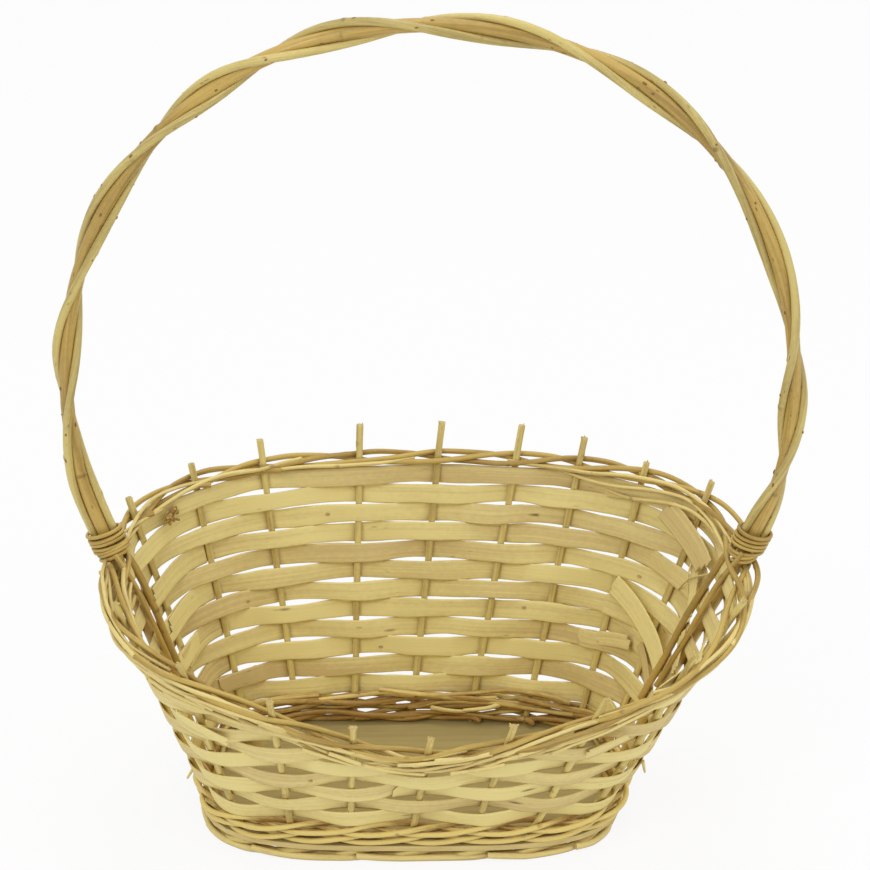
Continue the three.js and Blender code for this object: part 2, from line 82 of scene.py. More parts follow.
# The rods woven in threes: how much room they take beyond the least, and the sites they start at
WALE_RODS = 3
WALE_EASE = 1.08
BASE_WALE_STARTS = (2, 11)
RIM_WALE_START = 7

# The splint rows: how they lap on themselves, and how they end under the dipping rim
SPLINT_ROWS = 12
SPLINT_LAP_SHARE = 0.4
SPLINT_LAP_SITES = 7
SPLINT_END_SHARE = 0.35
SPLINT_END_HEIGHT = 0.0035

# The handle's hoop, with the angles round it at which the thin rods cross the core, in degrees
HOOP_SQUARENESS = 2.09
HOOP_LOWEST_ANGLE = -12
TWIST_CROSSINGS = [-13, 8, 41.5, 67, 90, 111, 131, 160.5, 183.5]
TWIST_END_ANGLES = (-24, 204)
TWIST_SMOOTHING = 20

# The stakes' butts under the board, with runs counted in spacings from their own hole
ELBOW_RADIUS = 0.0035
TAIL_SIDE_GAP = 0.0005
TAIL_RUNS = (0.3, 0.45, 0.58, 0.66, 0.83, 1, 1.17, 1.33, 1.5, 1.67, 1.83, 2, 2.13)
TAIL_RISE_RUN = 0.66

# How far the three rim rods have moved outwards and up, on the right of the front
RIM_ROD_SPRINGS, RIM_ROD_RISES = (0.0005, 0.0030, 0.0055), (0.001, -0.0035, -0.008)

# The bindings' turns, counted from their lowest tight one, and the steps in one turn
BINDING_TURNS, BINDING_STEPS = (-2.4, 4.101), 48

# Thickness of the rods beside that of their solids, which keep a gap all round
STAKE_FULLNESS, WALE_FULLNESS, CORE_FULLNESS, THIN_FULLNESS = 1.08, 1.12, 1.05, 1.14

# Steps along the lines of rods, of fine or twisted ones, and of knots, and the share of a step
# that rounds a half step upwards in every run
ROD_STEP, FINE_STEP, KNOT_STEP = 0.002, 0.0015, 0.0002
HALF_STEP_MARGIN = 1e-6

# Loose rods and torn strips, placed after the photograph. Distances from the wall are
# outside it, or inside it where they are negative.

# First place, last place, distance from the wall, distance below the rim, swing, radius
RIM_STRANDS = (
    (9.75, 15.6, 0.0052, -0.0006, 0.0022, 0.0014), (9.9, 16.4, 0.0064, 0.0034, 0.0026, 0.0013),
    (10.0, 14.7, 0.0056, 0.0068, 0.0030, 0.0013), (10.15, 13.2, 0.0062, 0.0102, 0.0030, 0.0015),
    (9.8, 12.6, 0.0070, 0.0012, 0.0040, 0.0012), (9.9, 12.1, 0.0080, 0.0060, 0.0050, 0.0013),
    (9.85, 11.9, 0.0060, -0.0040, 0.0030, 0.0011), (10.1, 13.9, 0.0078, 0.0015, 0.0034, 0.0011),
    (9.6, 11.5, -0.0050, 0.0040, 0.0040, 0.0014), (9.7, 11.2, -0.0060, 0.0105, 0.0040, 0.0012),
    (9.7, 11.0, -0.0045, 0.0160, 0.0030, 0.0013), (12.2, 17.2, 0.0070, 0.0042, 0.0034, 0.0013),
    (14.4, 20.2, 0.0052, 0.0008, 0.0024, 0.0015), (15.2, 20.1, 0.0062, 0.0052, 0.0026, 0.0013),
    (16.1, 20.0, 0.0074, 0.0092, 0.0030, 0.0012), (17.0, 20.15, 0.0060, -0.0016, 0.0030, 0.0012),
    (17.6, 20.1, 0.0075, 0.0040, 0.0050, 0.0012), (15.9, 19.4, 0.0080, 0.0065, 0.0040, 0.0011),
    (20.1, 24.3, -0.0048, 0.0010, 0.0020, 0.0013), (20.05, 23.4, -0.0054, 0.0055, 0.0030, 0.0012),
    (20.0, 22.6, -0.0050, 0.0100, 0.0035, 0.0012), (20.1, 22.3, 0.0062, 0.0030, 0.0045, 0.0012),
    (25.3, 29.9, -0.0048, 0.0012, 0.0018, 0.0013), (26.6, 29.95, -0.0054, -0.0018, 0.0022, 0.0012),
)

# First place, last place, height above the board, tone
INNER_BASE_RODS = (
    (2.4, 6.0, 0.0040, 1.2), (4.6, 8.8, 0.0050, 1.0), (2.1, 5.1, 0.0110, 0.6),
    (5.3, 8.9, 0.0125, 0.8), (3.6, 7.2, 0.0160, 0.3), (1.4, 3.2, 0.0150, 0.9),
    (6.6, 9.4, 0.0180, 0.5), (1.0, 2.8, 0.0060, 1.1), (2.2, 5.6, 0.0182, 0.5),
    (5.0, 8.2, 0.0158, 0.7), (2.9, 6.3, 0.0135, 0.9),
)

# First place, last place, distance from the wall, rise of the first end
FOOT_BORDER_RODS = (
    (10.55, 11.9, 0.0088, 0.0062), (11.3, 12.8, 0.0092, 0.0055), (12.3, 14.6, 0.0088, 0.0050),
    (14.1, 16.7, 0.0086, 0.0045), (16.3, 18.4, 0.0088, 0.0052), (17.8, 19.2, 0.0092, 0.0060),
    (10.9, 11.5, 0.0094, 0.0010),
)

# Start and end, each as place, height and distance from the wall, then width, splint row,
# whether it is drawn straighter, and tone. A strip on a row has its heights from its middle.
TORN_STRIPS = (
    ((8.05, 0, -0.0046), (9.45, -0.002, -0.0046), 0.0122, 8, False, 0.2),
    ((8.05, 0, -0.0046), (9.40, -0.003, -0.0046), 0.0124, 6, False, 0.0),
    ((8.05, 0, -0.0046), (9.30, -0.003, -0.0046), 0.0122, 4, False, 0.4),
    ((8.05, 0, -0.0046), (9.20, -0.002, -0.0046), 0.0118, 2, False, 0.7),
    ((2.05, 0.109, -0.0045), (0.20, 0.087, -0.0052), 0.0120, None, True, 0.0),
    ((1.55, 0.163, -0.0046), (0.40, 0.149, -0.0056), 0.0150, None, True, 0.9),
    ((2.10, 0.072, -0.0045), (1.25, 0.079, -0.0052), 0.0080, None, False, 0.5),
    ((1.10, 0.083, -0.0046), (0.10, 0.070, -0.0050), 0.0050, None, True, 1.1),
    ((0.72, 0.146, -0.0048), (0.05, 0.122, -0.0060), 0.0070, None, True, 0.3),
    ((0.15, 0.118, -0.0056), (-0.50, 0.100, -0.0048), 0.0075, None, True, 0.4),
    ((2.05, 0, -0.0046), (1.10, -0.003, -0.0046), 0.0120, 5, False, 0.3),
    ((12.9, 0.098, -0.0040), (12.2, 0.094, -0.0050), 0.0080, None, False, 0.2),
    ((13.42, 0.117, 0.0068), (13.98, 0.100, 0.0060), 0.0048, None, False, 0.6),
    ((11.75, 0.121, 0.0066), (12.45, 0.103, 0.0056), 0.0060, None, False, 0.0),
    ((12.85, 0.129, 0.0072), (13.35, 0.113, 0.0066), 0.0045, None, False, 0.6),
    ((17.55, 0.110, 0.0064), (17.05, 0.096, 0.0056), 0.0050, None, False, 0.2),
)

# Spots, each as place, height and distance from the wall, then radius
TWIGS = (
    (((0.25, 0.154, -0.003), (0.5, 0.140, -0.0085), (0.8, 0.124, -0.003)), 0.0007),
    (((0.78, 0.150, -0.003), (0.62, 0.138, -0.0080), (0.48, 0.126, -0.003)), 0.0007),
    (((-0.05, 0.174, 0.005), (-0.22, 0.150, 0.0085), (-0.40, 0.116, 0.0045)), 0.0016),
    (((9.8, 0.178, 0.005), (10.05, 0.160, 0.009), (10.45, 0.132, 0.0070)), 0.0013),
    (((10.35, 0.182, 0.007), (10.1, 0.165, 0.0105), (9.85, 0.150, 0.006)), 0.0012),
    (((11.1, 0.046, 0.003), (11.15, 0.043, 0.0085)), 0.0009),
    (((18.85, 0.054, 0.003), (18.92, 0.046, 0.0085)), 0.0010),
    (((10.18, 0.180, 0.003), (10.0, 0.166, 0.0085), (9.8, 0.146, 0.005)), 0.0013),
    (((9.78, 0.181, 0.003), (10.0, 0.168, 0.0098), (10.3, 0.140, 0.0075)), 0.0013),
    (((8.6, 0.170, -0.0045), (9.3, 0.176, -0.0045), (9.86, 0.184, 0.000)), 0.0013),
    (((4.7, 0.021, -0.005), (4.4, 0.020, -0.009), (4.1, 0.019, -0.0075)), 0.0016),
    (((3.5, 0.024, -0.005), (3.75, 0.022, -0.0095), (4.15, 0.020, -0.0085)), 0.0016),
)

# Place and height of the torn knot, then places and splint rows of the grown ones
TORN_KNOT = (8.5, 0.163)
GROWN_KNOTS = ((1.62, 7), (3.42, 4), (6.35, 9), (7.55, 5), (5.6, 2), (13.4, 3))

# Places of the fibres that have sprung from the wall near the handle's joints
FRAYED_PLACES = (10.0, 10.2, 10.4, -0.1, -0.3, -0.5)

# How many there are of the small things that are strewn at random
BROKEN_RODS, HANDLE_KNOTS, TORN_STUBS = 17, 64, 22
FRONT_TIP_FIBRES, BACK_TIP_FIBRES, SIDE_FIBRES = 9, 4, 5

# Name, place, height aimed at, size, and power in watts
LAMPS = (("key_lamp", (-1.1, -1.7, 2.1), 0.15, 1.0, 14.5),
         ("fill_lamp", (1.7, -1.0, 1.4), 0.2, 1.4, 7),
         ("top_lamp", (0.1, 0.6, 2.4), 0.2, 1.2, 12))
CAMERA_TARGET, CAMERA_DISTANCE, CAMERA_ELEVATION = (0.0039, 0, 0.264), 2.6, 30
CAMERA_LENS, CAMERA_SENSOR = 177.5, 36


def linear(red, green, blue):
    """A screen colour as the linear colour that materials use."""
    return tuple(
        (c / 255 / 12.92) if c / 255 <= 0.04045 else ((c / 255 + 0.055) / 1.055) ** 2.4
        for c in (red, green, blue))


def length(name, description, default):
    return FloatProperty(name=name, description=description, default=default, min=0,
                         unit="LENGTH", subtype="DISTANCE", precision=5)


def colour(name, description, default):
    return FloatVectorProperty(name=name, description=description, default=default,
                               subtype="COLOR", size=3, min=0, max=1)


class BasketSizes(bpy.types.PropertyGroup):
    """Sizes of the basket's pieces, the same as in its solid model."""

    board_length: length("Board length", "Length of the base board", BOARD_HIGH[0] - BOARD_LOW[0])
    board_depth: length("Board depth", "Depth of the base board", BOARD_HIGH[1] - BOARD_LOW[1])
    hole_inset: length("Hole inset", "From the board's edge to the stakes", 0.007)
    base_shift: FloatProperty(name="Base shift", description="How far the base sits to the left",
                              default=-0.011, unit="LENGTH", subtype="DISTANCE")
    flare_height: length("Flare height", "Height above the board where the flare is set", 0.166)
    flare_length: length("Flare length", "Length of the wall's outline at that height", 0.386)
    flare_back: length("Flare back", "Depth of the outline's back half", 0.1265)
    flare_front: length("Flare front", "Depth of the outline's front half", 0.121)
    rim_back: length("Back rim", "Height of the rim above the board at the back", 0.1625)
    rim_front: length("Front rim", "Height of the rim above the board at the front", 0.0805)
    stake: length("Stake", "Diameter of a stake", 0.004)
    wale: length("Wale rod", "Diameter of a wale rod", 0.003)
    splint_gap: length("Row gap", "Gap between two splint rows", 0.0009)
    splint: length("Splint", "Thickness of a splint", 0.001)
    core: length("Handle core", "Diameter of the handle's core rod", 0.008)
    leg_foot: length("Leg foot", "Diameter of the core rod's ends", 0.0052)
    twist: length("Thin rod", "Diameter of the rods twisted round the core", 0.0045)
    hoop_width: length("Hoop width", "Width of the handle's hoop", 0.438)
    hoop_rise: length("Hoop rise", "Rise of the hoop over its centre", 0.241)
    hoop_centre: length("Hoop centre", "Height of the hoop's centre above the board", 0.2825)
    hoop_shift: length("Hoop shift", "How far the hoop sits to the right", 0.001)
    binding: length("Binding", "Diameter of the rod that binds the handle", 0.0024)
    binding_pitch: length("Binding pitch", "Rise of one turn of a binding", 0.0031)
    wander: length("Wander", "How far a rod strays from its even line", 0.0006)


class BasketLooks(bpy.types.PropertyGroup):
    """Colours of the basket's woods."""

    splint_pale: colour("Pale splint", "Colour of the yellow splints", linear(238, 221, 147))
    splint_tan: colour("Tan splint", "Colour of the greyer splints", linear(211, 186, 123))
    stake: colour("Stake", "Colour of the stakes", linear(222, 202, 124))
    rim: colour("Rim rod", "Colour of the rim wale", linear(201, 172, 90))
    base: colour("Base rod", "Colour of the base wale", linear(230, 206, 124))
    core: colour("Handle core", "Colour of the thick handle rod", linear(202, 170, 89))
    twist: colour("Thin rod", "Colour of the twisted handle rods", linear(214, 194, 118))
    strand: colour("Loose rod", "Colour of the loose thin rods", linear(232, 211, 136))
    board: colour("Board", "Colour of the base board", linear(180, 163, 106))
    knot: colour("Knot", "Colour of knots and specks", linear(104, 72, 32))
    # Painted shade: the brown mixed into the woods where rods touch; the handle's knots also take this
    # colour
    crevice_shade_and_knot: colour("Crevice", "Colour that gathers where rods touch", linear(138, 98, 40))
    cut: colour("Cut end", "Colour of cut rod ends", linear(150, 116, 72))
    seed: IntProperty(name="Seed", description="Changes how rods stray", default=11, min=0)


# The wall's shape


class Wall:
    """The leaning wall: where each place round it lies at each height."""

    def __init__(self, sizes):
        self.s = sizes
        self.shift = ((BOARD_LOW[0] + BOARD_HIGH[0]) / 2 - sizes.base_shift,
                      (BOARD_LOW[1] + BOARD_HIGH[1]) / 2)
        self.board_bottom, self.board_top = BOARD_LOW[2], BOARD_HIGH[2]
        base = self.quarter(sizes.board_length / 2 - sizes.hole_inset,
                            sizes.board_depth / 2 - sizes.hole_inset, BASE_SQUARENESS)
        self.base = (base, base, END_CROWDING)
        self.flare = (self.quarter(sizes.flare_length / 2, sizes.flare_back, BACK_SQUARENESS),
                      self.quarter(sizes.flare_length / 2, sizes.flare_front, FRONT_SQUARENESS), 1)
        self.stake_radius = sizes.stake / 2
        self.tail_low = self.stake_radius * math.cos(math.pi / 6)
        self.tail_high = self.tail_low + sizes.stake + TOUCH_GAP
        self.wale_radius = sizes.wale / 2
        self.wale_rise = WALE_EASE * (sizes.wale + 1.5 * TOUCH_GAP) / (2 * math.sin(math.pi / 3))
        self.half_band = self.wale_rise + self.wale_radius
        self.leg_top = self.board_top + sizes.rim_back + self.half_band + TOUCH_GAP
        lean = max(self.lean(RIGHT_SITE), self.lean(LEFT_SITE))
        drop = (sizes.leg_foot / 2 + TOUCH_GAP + sizes.splint) * math.sin(lean)
        bands = len(BASE_WALE_STARTS) * (2 * self.half_band + TOUCH_GAP)
        self.first_row = self.board_top + TOUCH_GAP + bands + drop
        reach = self.under_rim(BACK_SITE) + sizes.splint_gap - self.first_row
        self.row_pitch = reach / SPLINT_ROWS
        self.twist_reach = sizes.core / 2 + sizes.twist / 2 + TOUCH_GAP
        self.twist_foot = self.leg_top + TOUCH_GAP + (
            self.twist_reach + sizes.twist / 2) * math.sin(lean)
        self.hoop_centre = self.board_top + sizes.hoop_centre

    @staticmethod
    def quarter(half_length, half_depth, squareness):
        """Points on a quarter of a squared oval, with the share of its length run at each."""
        angle = np.linspace(0, math.pi / 2, 241)
        x = half_length * np.abs(np.cos(angle)) ** (2 / squareness)
        y = half_depth * np.abs(np.sin(angle)) ** (2 / squareness)
        x[-1], y[0] = 0, 0
        run = np.concatenate([[0], np.cumsum(np.hypot(np.diff(x), np.diff(y)))])
        return run / run[-1], x, y

    @staticmethod
    def oval(outline, place):
        """Where a place lies on an outline, crowded towards its two ends by a power."""
        back, front, crowding = outline
        turn = (place % SITE_COUNT) / QUARTER_SITES
        quarter = min(3, int(turn))
        part = turn - quarter
        from_end = part if quarter % 2 == 0 else 1 - part
        share, x, y = back if quarter < 2 else front
        at = from_end ** crowding
        return (np.interp(at, share, x) * (1, -1, -1, 1)[quarter],
                np.interp(at, share, y) * (1, 1, -1, -1)[quarter])

    def point(self, place, height):
        """A place on the wall, on the straight line from the base's outline to the flare's."""
        turned = place % SITE_COUNT
        site = int(turned)
        lean = STAKE_LEANS[site] + (turned - site) * (
            STAKE_LEANS[(site + 1) % SITE_COUNT] - STAKE_LEANS[site])
        share = (height - self.board_top) / self.s.flare_height
        base, flare = self.oval(self.base, place), self.oval(self.flare, place + lean)
        x = (base[0] + self.s.base_shift) * (1 - share) + flare[0] * share
        y = base[1] * (1 - share) + flare[1] * share
        return np.array([x + self.shift[0], y + self.shift[1], height])

    def outward(self, place, height):
        """The level direction that points out of the wall."""
        along = self.point(place + 0.02, height) - self.point(place - 0.02, height)
        level = np.array([along[1], -along[0], 0])
        return level / np.linalg.norm(level)

    def normal(self, place, height):
        """The outward direction square to the leaning wall."""
        level = self.outward(place, height)
        up = self.point(place, height + 0.001) - self.point(place, height)
        across = np.cross(np.array([-level[1], level[0], 0]), up)
        return across / np.linalg.norm(across)

    def beside(self, place, height, offset):
        """A point at a distance outside the wall, or inside it where the distance is negative."""
        return self.point(place, height) + self.normal(place, height) * offset

    def lean(self, place):
        """How far the wall leans out from upright."""
        rise = self.point(place, self.board_top + self.s.flare_height) - self.point(
            place, self.board_top)
        return math.acos(rise[2] / np.linalg.norm(rise))

    def rim(self, place):
        """The height of the rim's middle, which dips to the front."""
        from_front = abs(place % SITE_COUNT - FRONT_SITE)
        share = min(1, from_front / QUARTER_SITES)
        rise = (1 - math.cos(math.pi * share ** RIM_DIP_POWER)) / 2
        return self.board_top + self.s.rim_front + (self.s.rim_back - self.s.rim_front) * rise

    def tip_height(self, site):
        return self.rim(site) + TIP_LENGTHS[site] / 1000

    def rim_slope(self, place):
        """How many times longer the rim runs than its level track."""
        before = self.point(place - 0.05, self.rim(place - 0.05))
        run = self.point(place + 0.05, self.rim(place + 0.05)) - before
        return np.linalg.norm(run) / math.hypot(run[0], run[1])

    def under_rim(self, place):
        """The height that the splints may reach under the rim's rods."""
        return self.rim(place) - (self.half_band + TOUCH_GAP) * self.rim_slope(place) - TOUCH_GAP

    def leg_radius(self, height):
        """The radius of a handle leg, which tapers to its foot."""
        share = min(1, max(0, (height - self.board_top) / self.s.rim_back))
        return self.s.leg_foot / 2 + (self.s.core - self.s.leg_foot) / 2 * share

    def upright_radius(self, site, height):
        """The radius of the stake or handle leg that stands at a place."""
        return self.leg_radius(height) if site % LEFT_SITE == 0 else self.stake_radius

    def weave(self, place, height, row):
        """How far a splint's middle stands off the wall, outside one upright and inside the next."""
        site = math.floor(place)
        side = 1 if (site + row) % 2 == 0 else -1
        lift = TOUCH_GAP + self.s.splint / 2 + 0.0001
        fade = math.cos(math.pi * (place - site) / 2) ** 2
        here = self.upright_radius(site, height) + lift
        following = self.upright_radius(site + 1, height) + lift
        return side * (here * fade - following * (1 - fade))


# Lines that rods and splints follow


def unit(vectors):
    return vectors / np.maximum(np.linalg.norm(vectors, axis=-1, keepdims=True), 1e-12)


def run_along(points):
    """How far along its line each point lies."""
    return np.concatenate([[0], np.cumsum(np.linalg.norm(np.diff(points, axis=0), axis=1))])


def read_between(at, given, vectors):
    """Vectors at places in between the given ones."""
    vectors = np.asarray(vectors)
    return np.stack([np.interp(at, given, vectors[:, k]) for k in range(3)], axis=1)


def smooth_line(points, step):
    """Even steps along a smooth line through the given points."""
    knots = [np.asarray(p, float) for p in points]
    knots = [2 * knots[0] - knots[1]] + knots + [2 * knots[-1] - knots[-2]]
    out = [knots[1]]
    for i in range(1, len(knots) - 2):
        p = knots[i - 1:i + 3]
        t = [0]
        for a, b in zip(p, p[1:]):
            t.append(t[-1] + max(math.sqrt(np.linalg.norm(b - a)), 1e-6))
        for u in np.linspace(t[1], t[2], 13)[1:]:
            a = [((t[k + 1] - u) * p[k] + (u - t[k]) * p[k + 1]) / (t[k + 1] - t[k])
                 for k in range(3)]
            b = [((t[k + 2] - u) * a[k] + (u - t[k]) * a[k + 1]) / (t[k + 2] - t[k])
                 for k in range(2)]
            out.append(((t[2] - u) * b[0] + (u - t[1]) * b[1]) / (t[2] - t[1]))
    out = np.array(out)
    run = run_along(out)
    steps = round(run[-1] / step + HALF_STEP_MARGIN)
    even = np.linspace(0, run[-1], max(4, steps + 1))
    return read_between(even, run, out)


def wave(rng, run, wavelength, size):
    """An uneven wave along a line, for the way natural rods stray."""
    total = np.zeros(len(run))
    for share in (1.0, 0.55, 0.33):
        phase = rng.uniform(0, 2 * math.pi)
        pitch = wavelength * share * rng.uniform(0.8, 1.25)
        total += share * np.sin(2 * math.pi * run / pitch + phase)
    return total * size / 1.5


class Line:
    """A line with the frame, half sizes and marks that the sweep needs at each point."""

    def __init__(self, points, facing, half_out, half_up=None, up=None):
        self.points = np.asarray(points, float)
        count = len(self.points)
        along = unit(np.gradient(self.points, axis=0))
        facing = np.broadcast_to(np.asarray(facing, float), (count, 3))
        self.out = unit(facing - along * np.sum(facing * along, axis=1, keepdims=True))
        self.up = np.cross(along, self.out) if up is None else unit(np.asarray(up, float))
        self.half_out = np.broadcast_to(np.asarray(half_out, float), (count,)).copy()
        half_up = self.half_out if half_up is None else half_up
        self.half_up = np.broadcast_to(np.asarray(half_up, float), (count,)).copy()
        self.tone = np.zeros(count)
        self.knot = np.zeros(count)
        self.knot_turn = np.zeros(count)

    @property
    def run(self):
        return run_along(self.points)

    def natural(self, rng, wander, knot_every=0.075, tone=0.3, bend=0.11):
        """Adds the small bends, swellings and knots of a grown rod."""
        run = self.run
        self.points = self.points + self.out * wave(rng, run, bend, wander)[:, None]
        self.points = self.points + self.up * wave(rng, run, bend * 0.9, wander)[:, None]
        swell = 1 + wave(rng, run, 0.09, 0.05)
        self.half_out *= swell
        self.half_up *= swell
        self.tone = tone + wave(rng, run, 0.22, 0.22)
        at = rng.uniform(0.01, knot_every)
        while at < run[-1]:
            near = np.exp(-((run - at) / 0.0016) ** 2) * rng.uniform(0.5, 1)
            turn = rng.uniform(0, 2 * math.pi)
            self.knot_turn = np.where(near > self.knot, turn, self.knot_turn)
            self.knot = np.maximum(self.knot, near)
            at += knot_every * rng.uniform(0.4, 1.7)
        return self

    def cut_ends(self, depth=0.0004, share=0.86):
        """Draws the ends in slightly, as a knife cut leaves them."""
        for end, way in ((0, 1), (-1, -1)):
            along = unit(self.points[end + way] - self.points[end])
            ring = self.points[end] + along * depth
            keep = {}
            for name in ("out", "up", "half_out", "half_up", "tone", "knot", "knot_turn"):
                keep[name] = getattr(self, name)[end]
            at = 1 if end == 0 else len(self.points) - 1
            self.points = np.insert(self.points, at, ring, axis=0)
            for name, value in keep.items():
                setattr(self, name, np.insert(getattr(self, name), at, value, axis=0))
            self.half_out[end] *= share
            self.half_up[end] *= share
        return self

    def rest_on_floor(self):
        """Lifts what would dip below the floor."""
        self.points[:, 2] = np.maximum(self.points[:, 2], self.half_up * 1.04 + 0.0001)


# Node trees


class Nodes:
    """Adds nodes to a tree and joins them by name."""

    def __init__(self, tree):
        self.tree = tree

    def join(self, value, socket):
        if hasattr(value, "is_output"):
            self.tree.links.new(value, socket)
        else:
            socket.default_value = value

    def add(self, kind, inputs=None, **settings):
        node = self.tree.nodes.new(kind)
        for name, value in settings.items():
            setattr(node, name, value)
        for name, value in (inputs or {}).items():
            self.join(value, node.inputs[name])
        return node

    def math(self, operation, *values):
        return self.add("ShaderNodeMath", dict(enumerate(values)), operation=operation).outputs[0]

    def vector(self, operation, first, second=None, scale=None):
        node = self.add("ShaderNodeVectorMath", {0: first}, operation=operation)
        if second is not None:
            self.join(second, node.inputs[1])
        if scale is not None:
            self.join(scale, node.inputs["Scale"])
        return node.outputs[0]

    def spread(self, place, scale):
        """Coordinates scaled along each axis."""
        return self.add("ShaderNodeMapping", {"Vector": place, "Scale": scale}).outputs[0]

    def noise(self, place, scale, detail, roughness=0.55, distortion=0.0):
        return self.add("ShaderNodeTexNoise", {
            "Vector": self.spread(place, scale), "Scale": 1.0, "Detail": detail,
            "Roughness": roughness, "Distortion": distortion}).outputs[0]

    def around_middle(self, value, strength):
        """A value from 0 to 1 as a push to either side."""
        return self.math("MULTIPLY", self.math("SUBTRACT", value, 0.5), strength)

    def rescale(self, value, low, high, to_low=0.0, to_high=1.0):
        return self.add("ShaderNodeMapRange", {
            "Value": value, "From Min": low, "From Max": high, "To Min": to_low,
            "To Max": to_high}).outputs[0]

    def mix(self, share, first, second, blend_type="MIX"):
        return self.add("ShaderNodeMix", {0: share, 6: first, 7: second}, data_type="RGBA",
                        blend_type=blend_type).outputs[2]


def new_material(name):
    """A material with its node helper and its shader."""
    material = bpy.data.materials.new(name)
    material.use_nodes = True
    return material, Nodes(material.node_tree), material.node_tree.nodes["Principled BSDF"]


def sweep_tree(name, flat):
    """A tree that carries a round or a flat outline along a line of edges."""
    tree = bpy.data.node_groups.new(name, "GeometryNodeTree")
    face = tree.interface
    face.new_socket("Line", in_out="INPUT", socket_type="NodeSocketGeometry")
    face.new_socket("Sides", in_out="INPUT", socket_type="NodeSocketInt")
    face.new_socket("Unevenness", in_out="INPUT", socket_type="NodeSocketFloat")
    face.new_socket("Seed", in_out="INPUT", socket_type="NodeSocketInt")
    face.new_socket("Wood", in_out="INPUT", socket_type="NodeSocketMaterial")
    face.new_socket("Piece", in_out="OUTPUT", socket_type="NodeSocketGeometry")
    n = Nodes(tree)
    given = n.add("NodeGroupInput").outputs

    def read(attribute, kind="FLOAT"):
        node = n.add("GeometryNodeInputNamedAttribute", data_type=kind)
        node.inputs["Name"].default_value = attribute
        return node.outputs["Attribute"]

    def store(geometry, attribute, value, kind):
        node = n.add("GeometryNodeStoreNamedAttribute", data_type=kind, domain="POINT")
        node.inputs["Name"].default_value = attribute
        tree.links.new(geometry, node.inputs["Geometry"])
        tree.links.new(value, node.inputs["Value"])
        return node.outputs["Geometry"]

    # The outline that is carried along the line, from -1 to 1 both ways
    if flat:
        box = n.add("GeometryNodeCurvePrimitiveQuadrilateral", {"Width": 2.0, "Height": 2.0})
        soft = n.add("GeometryNodeFilletCurve", {"Curve": box.outputs[0], "Radius": 0.3},
                     mode="BEZIER")
        outline = n.add("GeometryNodeResampleCurve",
                        {"Curve": soft.outputs[0], "Count": given["Sides"]}).outputs[0]
    else:
        outline = n.add("GeometryNodeCurvePrimitiveCircle",
                        {"Resolution": given["Sides"], "Radius": 1.0}).outputs[0]
    outline = store(outline, "outline", n.add("GeometryNodeInputPosition").outputs[0],
                    "FLOAT_VECTOR")
    curve = n.add("GeometryNodeMeshToCurve", {"Mesh": given["Line"]}).outputs[0]
    skin = n.add("GeometryNodeCurveToMesh",
                 {"Curve": curve, "Profile Curve": outline, "Fill Caps": True}).outputs[0]

    # Each point of the skin is placed from the line's frame and half sizes, with its swellings
    around = n.add("ShaderNodeSeparateXYZ", {0: read("outline", "FLOAT_VECTOR")}).outputs
    run = read("run")
    seeded = n.math("MULTIPLY", given["Seed"], 3.7)
    spot = n.add("ShaderNodeCombineXYZ", {
        0: n.math("MULTIPLY", around[0], 0.6), 1: n.math("MULTIPLY", around[1], 0.6),
        2: n.math("MULTIPLY_ADD", run, 95.0, seeded)}).outputs[0]
    rough = n.add("ShaderNodeTexNoise", {"Vector": spot, "Scale": 1.0, "Detail": 3.0}).outputs[0]
    rough = n.around_middle(rough, given["Unevenness"])
    turn = read("knot_turn")
    facing = n.math("ADD", n.math("MULTIPLY", around[0], n.math("COSINE", turn)),
                    n.math("MULTIPLY", around[1], n.math("SINE", turn)))
    knot = n.math("MULTIPLY", n.math("MAXIMUM", facing, 0.0), read("knot"))
    size = n.math("ADD", n.math("ADD", rough, 1.0), n.math("MULTIPLY", knot, 0.0 if flat else 0.2))
    out_by = n.math("MULTIPLY", n.math("MULTIPLY", around[0], read("half_out")), size)
    up_by = n.math("MULTIPLY", n.math("MULTIPLY", around[1], read("half_up")), size)
    out = n.vector("SCALE", read("out_way", "FLOAT_VECTOR"), scale=out_by)
    up = n.vector("SCALE", read("up_way", "FLOAT_VECTOR"), scale=up_by)
    place = n.vector("ADD", read("centre", "FLOAT_VECTOR"), out)
    place = n.vector("ADD", place, up)
    skin = n.add("GeometryNodeSetPosition", {"Geometry": skin, "Position": place}).outputs[0]

    # What the woods read
    grain = n.add("ShaderNodeCombineXYZ", {0: out_by, 1: up_by, 2: run}).outputs[0]
    skin = store(skin, "grain", grain, "FLOAT_VECTOR")
    skin = store(skin, "knot_mark", knot, "FLOAT")
    skin = n.add("GeometryNodeSetShadeSmooth", {"Geometry": skin}).outputs[0]
    skin = n.add("GeometryNodeRealizeInstances", {"Geometry": skin}).outputs[0]
    skin = n.add("GeometryNodeSetMaterial", {"Geometry": skin, "Material": given["Wood"]}).outputs[0]
    n.add("NodeGroupOutput", {"Piece": skin})
    return tree


def tree_for(flat):
    name = "Flat splint along a line" if flat else "Round rod along a line"
    return bpy.data.node_groups.get(name) or sweep_tree(name, flat)


